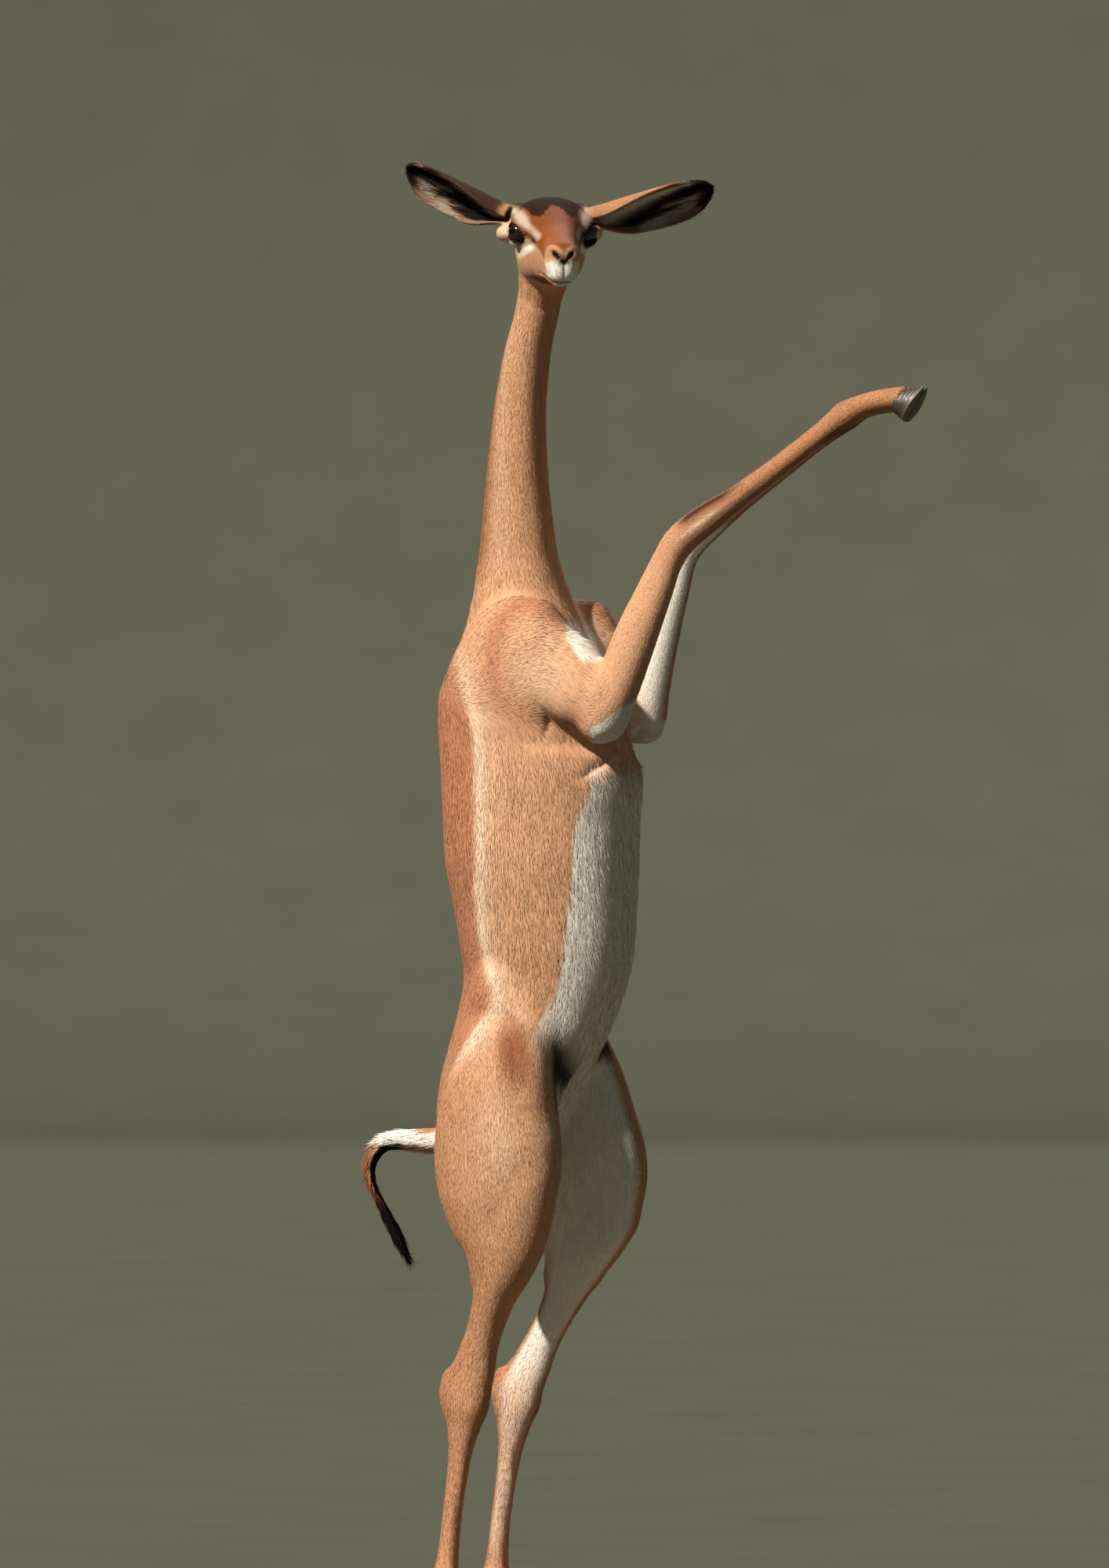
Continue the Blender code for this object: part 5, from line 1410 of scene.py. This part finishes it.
def normals_of(mesh):
    normals = np.empty(len(mesh.vertices) * 3, np.float32)
    mesh.vertices.foreach_get("normal", normals)
    return normals.reshape(-1, 3).astype(float)


def sown(mesh, density, chance):
    """Places on the skin, so many to a square metre in each face: the spot, and the way out from it."""
    spots, corners, normals = coordinates(mesh), faces_of(mesh), normals_of(mesh)
    a, b, c = (spots[corners[:, i]] for i in range(3))
    area = np.linalg.norm(np.cross(b - a, c - a), axis=1) / 2
    count = np.floor(area * density((a + b + c) / 3) + chance.random(len(area))).astype(int)
    face = np.repeat(np.arange(len(corners)), count)
    share = chance.dirichlet((1, 1, 1), len(face))
    at = corners[face]
    return np.einsum("nk,nkc->nc", share, spots[at]), unit(np.einsum("nk,nkc->nc", share, normals[at]))


def short_density(p):
    """Tufts to a square metre: the cover and closeness wanted, over the area that one tuft hides."""
    size = reading(p)["kinds"] @ TUFT_TABLE
    return COVER * size[:, 3] / (TUFT_FILL * size[:, 0] * size[:, 1] * 1e-6)


# The triangles between one three-cornered ring of a sliver and the next.
RING = ((0, 3, 5), (0, 5, 2), (2, 5, 4), (2, 4, 1), (0, 1, 4), (0, 4, 3))
# A sliver's crest for its width, its lean with its clump and its own, and the spread of its sizes.
CREST, CLUMP_LEAN, OWN_LEAN = 0.28, 0.16, 0.10
LENGTHS, WIDTHS, RISES = (0.75, 1.25), (0.7, 1.2), (0.45, 1.1)


def locks(name, root, out, lie, size, read, chance, rings=1):
    """A piece of closed slivers: three-cornered rings that shrink to a tip.

    A ring at share t stands at root + length * t along the lie, raised by rise * t^0.7 along the skin's
    normal, and is width * (1 - t)^0.6 across. Normals come from the skin, so that the coat shades as one
    surface.
    """
    n = len(root)
    clump = waves(read["grain"] * (1, 1, 0.35), 0.011, 5)
    lie = unit(lie - (lie * out).sum(axis=1, keepdims=True) * out)
    across = np.cross(out, lie)
    lean = CLUMP_LEAN * clump + chance.normal(0, OWN_LEAN, n)
    lie, across = (unit(lie * np.cos(lean)[:, None] + across * np.sin(lean)[:, None]),
                   unit(across * np.cos(lean)[:, None] - lie * np.sin(lean)[:, None]))
    long = size[:, 0] * chance.uniform(*LENGTHS, n)
    wide = size[:, 1] * chance.uniform(*WIDTHS, n)
    lift = size[:, 2] * chance.uniform(*RISES, n) * (1 + 0.35 * clump)
    sunk = 0.25 * np.minimum(size[:, 2], 0.002)
    points = []
    for t in np.arange(rings) / rings:
        middle = root + lie * (long * t)[:, None] + out * (lift * t**0.7 - sunk)[:, None]
        taper = (1 - t) ** 0.6
        half = across * (wide / 2 * taper)[:, None]
        crest = middle + out * (sunk + CREST * wide * taper)[:, None] + lie * (0.15 * long / rings)[:, None]
        points += [middle - half, middle + half, crest]
    points += [root + lie * long[:, None] + out * lift[:, None]]
    corners = 3 * rings + 1
    rows = [(0, 2, 1)]
    for ring in range(rings - 1):
        rows += [tuple(3 * ring + corner for corner in row) for row in RING]
    last = 3 * (rings - 1)
    rows += [(last, corners - 1, last + 2), (last + 2, corners - 1, last + 1), (last, last + 1, corners - 1)]
    first = np.arange(n)[:, None, None] * corners
    faces = (first + np.array(rows)).reshape(-1, 3)
    mesh = mesh_from(name, np.stack(points, axis=1).reshape(-1, 3) + LIFT, faces)
    ends = np.append(np.repeat(np.arange(rings) / rings, 3), 1.0)
    jitter = chance.normal(0, 0.0008, (n, 3))
    fibre = np.repeat(chance.random(n), corners), np.tile(ends, n), np.repeat(clump, corners)
    marks, grain = (np.repeat(rows, corners, axis=0) for rows in (read["marks"], read["grain"] + jitter))
    dressed(mesh, marks, grain, np.column_stack(fibre))
    wrap(mesh, faces, read, corners, ends)
    soft = unit(np.repeat(out + 0.12 * lie, corners, axis=0))
    mesh.normals_split_custom_set_from_vertices(soft.tolist())
    return linked(name, mesh)


def wrap(mesh, faces, read, corners, ends):
    """The map OFBake: a column for each limb, angle across and length up, and a small patch per sliver."""
    limbs, column = np.unique(read["limb"], return_inverse=True)
    turn, along = read["unwrap"].T
    high = np.zeros(len(along))
    for number in range(len(limbs)):
        mine = column == number
        low, top = along[mine].min(), along[mine].max()
        high[mine] = (along[mine] - low) / max(top - low, 1e-6)
    room = 1 - 2 * PATCH
    place = np.column_stack([(column + np.clip(turn, 0, 1) * 0.98) / len(limbs), high]) * room + PATCH / 2
    sides = np.append(np.tile((0.0, 1.0, 0.5), (corners - 1) // 3), 0.5)
    patch = np.column_stack([sides, ends]) * PATCH
    corner = (place[:, None, :] + patch).reshape(-1, 2)
    layer = mesh.uv_layers.new(name="OFBake")
    layer.data.foreach_set("uv", corner[faces.ravel()].astype(np.float32).ravel())


def closed_surface(name, grid):
    """A mesh from a grid of rings of points, closed round each ring and at both ends, faces outward."""
    rows, count = grid.shape[:2]
    points = np.concatenate([grid.reshape(-1, 3), grid[:1].mean(axis=1), grid[-1:].mean(axis=1)])
    ring, step = np.meshgrid(np.arange(rows - 1), np.arange(count), indexing="ij")
    after = (step + 1) % count
    a, b = (ring * count + step).ravel(), (ring * count + after).ravel()
    faces = [np.stack([a, b, b + count], axis=1), np.stack([a, b + count, a + count], axis=1)]
    step, after = np.arange(count), (np.arange(count) + 1) % count
    last = (rows - 1) * count
    faces += [np.stack([after, step, np.full(count, rows * count)], axis=1),
              np.stack([last + step, last + after, np.full(count, rows * count + 1)], axis=1)]
    faces = np.concatenate(faces)
    a, b, c = (points[faces[:, i]] for i in range(3))
    if (np.cross(a, b) * c).sum() < 0:
        faces = faces[:, ::-1]
    return mesh_from(name, points, faces), points


EYE_RINGS, EYE_SIDES = 40, 56
# The way that an eye looks, before its side is known.
GAZE = (0.42, 0.90, 0.02)


def eyeball(side):
    """A ball whose front bulges a little over the iris and looks a little forward of sideways."""
    gaze = unit(GAZE * np.array((1, side, 1)))
    level = unit(np.cross((0, 0, 1), gaze))
    upright = np.cross(gaze, level)
    polar = np.linspace(0.02, np.pi - 0.02, EYE_RINGS)
    turn = np.linspace(0, 2 * np.pi, EYE_SIDES, endpoint=False)
    polar, turn = np.meshgrid(polar, turn, indexing="ij")
    radius = EYE_RADIUS * (1 + 0.035 * rise(-polar, -0.80, -0.25))
    way = [np.sin(polar) * np.cos(turn), np.sin(polar) * np.sin(turn), np.cos(polar)]
    shape = sum((radius * part)[..., None] * axis for part, axis in zip(way, (level, upright, gaze)))
    grid = from_head(shape + EYE_AT * (1, side, 1)) + LIFT
    mesh, points = closed_surface("eye", grid)
    spots = (to_head(points - LIFT) - EYE_AT * (1, side, 1)) / EYE_RADIUS
    attribute(mesh, "gaze", np.stack([spots @ level, spots @ upright, spots @ gaze], axis=1))
    word = "right" if side < 0 else "left"
    piece = linked(f"eyeball_{word}", mesh)
    piece.data.materials.append(EYE_FINISH)
    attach(piece, "root")
    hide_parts(f"eye_{word}")


CLAW_STEPS, CLAW_SIDES = 22, 48
# The bulge of a claw's inner side for its width, and the height of its ripples.
CLAW_INNER, CLAW_RIPPLE = 0.10, 0.00022


def claw(word, toe, tip_up, side, ahead, half, place_word):
    """One claw: rings from sole to crown, flat inside, rippled by growth, with a rounded lower edge.

    A ring at height h is an oval, CLAW_LENGTH long at the sole and CROWN_LENGTH of it at the crown, drawn
    back and sloped as it rises; growth adds a ripple of 0.2 mm.
    """
    place, forward, up = foot_frame(toe, tip_up, side, ahead)
    angle = np.linspace(0, 2 * np.pi, CLAW_SIDES, endpoint=False)[None, :]
    h = np.concatenate([(0, 0, 0), np.linspace(0.02, 1.0, CLAW_STEPS), (1.0,)])[:, None]
    shrink = np.concatenate([(0.55, 0.86, 0.96), np.full(CLAW_STEPS, 1.0), (0.7,)])[:, None]
    cos, sin = np.cos(angle), np.sin(angle)
    ripple = CLAW_RIPPLE * np.sin(h * 34 + 0.8 * cos) * np.minimum(1, 6 * h) * (shrink == 1.0)
    length = CLAW_LENGTH * (1 + (CROWN_LENGTH - 1) * h)
    width = np.where(sin > 0, CLAW_WIDTH, CLAW_WIDTH * CLAW_INNER) * sin * (1 - 0.5 * ((1 + cos) / 2) ** 2)
    x = cos * (length / 2 + ripple) * shrink - CLAW_LENGTH * (0.5 + CROWN_BACK * h)
    out = (width * (1 - 0.08 * h) + ripple * (sin > 0)) * shrink
    y = half * (CLAW_APART + CLAW_WIDTH * CLAW_INNER + out)
    z = CLAW_HEIGHT * h * (1 - CROWN_SLOPE * (1 - cos) / 2)
    grid = x[..., None] * forward + y[..., None] * np.array((0, 1, 0)) + z[..., None] * up + place + LIFT
    mesh, points = closed_surface("claw", grid)
    turn = np.append(np.broadcast_to(angle, x.shape).ravel(), (0, 0))
    high = np.append(np.broadcast_to(h, x.shape).ravel(), (0, 1))
    attribute(mesh, "growth", np.stack([np.cos(turn), high, np.sin(turn)], axis=1))
    side_word = "right" if side < 0 else "left"
    piece = linked(f"claw_{word}_{side_word}_{place_word}", mesh)
    piece.data.materials.append(HORN_FINISH)
    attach(piece, "root")
    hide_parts(f"hoof_{word}_{side_word}_{place_word}")


# The picture's ways to the right and towards the camera, and the camera's distance, lens and middle.
RIGHT, TOWARD = np.array((0.883, 0.469, 0)), np.array((0.469, -0.883, 0))
CAMERA_FAR, LENS, SENSOR, VIEW_MIDDLE, VIEW_ASIDE = 31.11, 560.0, 36.0, 1.1273, 0.102


def camera():
    """Level, from the photo's side, far off, with a long lens: it frames 1.414 m by 2 m at the model."""
    lens = bpy.data.cameras.new("camera")
    lens.sensor_fit, lens.sensor_width, lens.lens = "AUTO", SENSOR, LENS
    lens.clip_start, lens.clip_end = 1.0, 400.0
    eye = bpy.data.objects.new("camera", lens)
    eye.location = RIGHT * VIEW_ASIDE + np.array((0, 0, VIEW_MIDDLE)) + TOWARD * CAMERA_FAR
    eye.rotation_euler = (math.radians(90), 0, math.atan2(RIGHT[1], RIGHT[0]))
    bpy.context.scene.collection.objects.link(eye)
    bpy.context.scene.camera = eye


# Each light: how far round to the camera's left, how high, strength, colour and softness.
LIGHTS = {
    "key": (50, 41, 5.8, (1.0, 0.93, 0.84), 2.0),
    "rim": (188, 42, 1.4, (0.95, 0.97, 1.0), 12.0),
}
SKY, SKY_STRENGTH = (0.90, 0.95, 1.0, 1), 0.095
# The floor is a dish of rings: flat as far as FLOOR_FLAT, then rising by FLOOR_RISE as it nears FLOOR_EDGE.
FLOOR_RINGS, FLOOR_FLAT, FLOOR_EDGE, FLOOR_RISE, FLOOR_SIDES = (0.5, 4.0, 20.0), 49.0, 55.0, 9.0, 96
FLOOR_BELOW, FLOOR_COLOURS = 0.0005, ((0.078, 0.083, 0.060), (0.092, 0.097, 0.072))


def sky():
    """An even light from all round."""
    world = bpy.data.worlds.new("studio")
    world.use_nodes = True
    background = world.node_tree.nodes["Background"]
    background.inputs["Color"].default_value = SKY
    background.inputs["Strength"].default_value = SKY_STRENGTH
    bpy.context.scene.world = world


def suns():
    """A warm sun from the camera's left and a weak one behind, each aimed by its angles round and up."""
    for name, (around, high, energy, colour, angle) in LIGHTS.items():
        around, high = math.radians(around), math.radians(high)
        level = -RIGHT * math.sin(around) + TOWARD * math.cos(around)
        way = Vector(level * math.cos(high) + np.array((0, 0, math.sin(high))))
        light = bpy.data.lights.new(name, "SUN")
        light.energy, light.color, light.angle = energy, colour, math.radians(angle)
        lamp = bpy.data.objects.new(name, light)
        lamp.rotation_euler = way.to_track_quat("Z", "Y").to_euler()
        bpy.context.scene.collection.objects.link(lamp)


def ground():
    """A floor that sweeps up far away: past the flat, its rings rise by FLOOR_RISE * (1 - cos t)."""
    turn = np.linspace(0, np.pi / 2, 16)
    reach = np.concatenate([FLOOR_RINGS, FLOOR_FLAT + (FLOOR_EDGE - FLOOR_FLAT) * np.sin(turn)])
    height = np.concatenate([np.zeros(len(FLOOR_RINGS)), FLOOR_RISE * (1 - np.cos(turn))]) - FLOOR_BELOW
    around = np.linspace(0, 2 * np.pi, FLOOR_SIDES, endpoint=False)
    rings = np.stack([np.outer(reach, np.cos(around)), np.outer(reach, np.sin(around)),
                      np.repeat(height[:, None], FLOOR_SIDES, axis=1)], axis=2)
    ring, step = np.meshgrid(np.arange(len(reach) - 1), np.arange(FLOOR_SIDES), indexing="ij")
    a, b = (ring * FLOOR_SIDES + at for at in (step, (step + 1) % FLOOR_SIDES))
    halves = (a, a + FLOOR_SIDES, b + FLOOR_SIDES), (a, b + FLOOR_SIDES, b)
    triangles = [np.stack(half, axis=-1).reshape(-1, 3) for half in halves]
    first, middle = np.arange(FLOOR_SIDES), len(reach) * FLOOR_SIDES
    fan = np.stack([first, (first + 1) % FLOOR_SIDES, np.full(FLOOR_SIDES, middle)], axis=1)
    points = np.concatenate([rings.reshape(-1, 3), ((0, 0, height[0]),)])
    floor = linked("floor", mesh_from("floor", points, np.concatenate([*triangles, fan])))
    paint = Finish("floor")
    shade = paint.mixed(paint.noise(paint.place(), 3.0, 4.0), *FLOOR_COLOURS)
    floor.data.materials.append(paint.set(Base_Color=shade, Roughness=0.95, Specular_IOR_Level=0.0))


# The shade, the tip's share and the clump that the bare skin shows instead of a tuft's.
SKIN_FIBRE = (0.45, 0.4, 0.0)


def skin_piece():
    """The whole hide as one closed surface, thinned to SKIN_TRIANGLES and marked at every point."""
    skin = linked("skin", skin_mesh())
    thin = skin.modifiers.new("thin", "DECIMATE")
    thin.ratio = SKIN_TRIANGLES / sum(len(face.vertices) - 2 for face in skin.data.polygons)
    baked(skin)
    skin.data.polygons.foreach_set("use_smooth", np.full(len(skin.data.polygons), True))
    read = reading(coordinates(skin.data))
    flat = np.tile(SKIN_FIBRE, (len(skin.data.vertices), 1))
    dressed(skin.data, read["marks"], read["grain"], flat)
    return skin


PIECES = {
    "coat_trunk": ("trunk", "arm"),
    "coat_neck": ("neck",),
    "coat_forelegs": ("foreleg",),
    "coat_hindlegs": ("hindleg",),
    "coat_tail": ("tail",),
    "coat_head": ("head",),
    "coat_ears": ("ear",),
}


def worn(piece):
    piece.data.materials.append(FUR)
    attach(piece, "root")


def short_coat(skin, chance):
    """Short tufts over the whole hide, in a piece for each part of the body, or more for many tufts."""
    root, out = sown(skin.data, short_density, chance)
    read = reading(root)
    owner = np.array([KINDS.index(row[0]) for row in LAYOUT])[read["limb"]]
    owner[(owner == KINDS.index("trunk")) & (root[:, 2] > NECK_COAT)] = KINDS.index("neck")
    for name, kinds in PIECES.items():
        mine = np.flatnonzero(np.isin(owner, [KINDS.index(kind) for kind in kinds]))
        mine = mine[np.argsort(root[mine, 2], kind="stable")]
        parts = math.ceil(len(mine) / MOST_TUFTS)
        for number, rows in enumerate(np.array_split(mine, parts)):
            some = {key: values[rows] for key, values in read.items()}
            size = some["kinds"] @ TUFT_TABLE[:, :3] * 1e-3
            label = name if parts == 1 else f"{name}_{number + 1}"
            worn(locks(label, root[rows], out[rows], some["lie"], size, some, chance))


def long_coat(skin, chance):
    """Longer hair where it breaks the form: the belly's edge and middle, the tail and the ears' insides."""
    def belly(p):
        z, front = p[:, 2], np.cos(SPINE.lay(p)[2])
        edge = bell(front - np.interp(z, *zip(*BELLY_EDGE)) - 0.03, 0.06) * rise(z, 0.80, 0.84)
        ridge = rise(front, 0.90, 0.99) * 0.5
        near = np.abs(SPINE.value(p)) < 0.004
        return np.maximum(edge, ridge) * fall(z, 1.09, 1.12) * (z > 0.70) * near

    def tuft(p):
        value, along, _, _ = TAIL_LIMB.lay(p)
        thicker = 1 + TAIL_END_MORE * rise(along, 0.14, 0.20)
        return (np.abs(value) < 0.003) * rise(along, 0.02, 0.05) * thicker

    def hollow(p):
        """1 on the inside of either ear, between its root and its tip."""
        total = np.zeros(len(p))
        for ear in EARS:
            value, share, across, _ = ear.lay(p)
            inner = (across > HOLLOW_SIDE / 2) & (np.abs(value) < 0.002)
            total = np.maximum(total, inner * rise(share, 0.08, 0.2) * fall(share, 0.72, 0.84))
        return total

    for (name, (size, most)), share_of in zip(LONG_HAIR.items(), (belly, tuft, hollow)):
        root, out = sown(skin.data, lambda p: most * share_of(p), chance)
        read = reading(root)
        size = np.tile(size, (len(root), 1)) * 1e-3
        worn(locks(name, root, out, read["lie"], size, read, chance, HAIR_RINGS))


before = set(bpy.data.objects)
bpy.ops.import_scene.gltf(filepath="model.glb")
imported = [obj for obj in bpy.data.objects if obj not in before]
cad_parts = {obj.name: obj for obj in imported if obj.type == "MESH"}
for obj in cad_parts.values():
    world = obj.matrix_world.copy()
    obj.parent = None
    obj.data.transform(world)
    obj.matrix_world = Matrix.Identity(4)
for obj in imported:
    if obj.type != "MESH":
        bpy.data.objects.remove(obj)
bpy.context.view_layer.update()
camera()
sky()
suns()
ground()
bpy.context.scene.view_settings.view_transform = "Standard"
FUR, EYE_FINISH, HORN_FINISH = coat_finish("fur", 0.25), eye_finish(), horn_finish()

chance = np.random.default_rng(11)
skin = skin_piece()
short_coat(skin, chance)
long_coat(skin, chance)
skin.data.transform(Matrix.Translation(LIFT))
skin.data.materials.append(coat_finish("skin", 0.55))
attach(skin, "root")
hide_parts(*(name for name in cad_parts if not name.startswith(("eye", "hoof", "stand"))))
for side in (-1, 1):
    eyeball(side)
for word, toe, tip_up, side, ahead in FEET:
    claw(word, toe, tip_up, side, ahead, -side, "inner")
    claw(word, toe, tip_up, side, ahead, side, "outer")
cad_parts["stand_base"].material_slots[0].material = wood_finish()
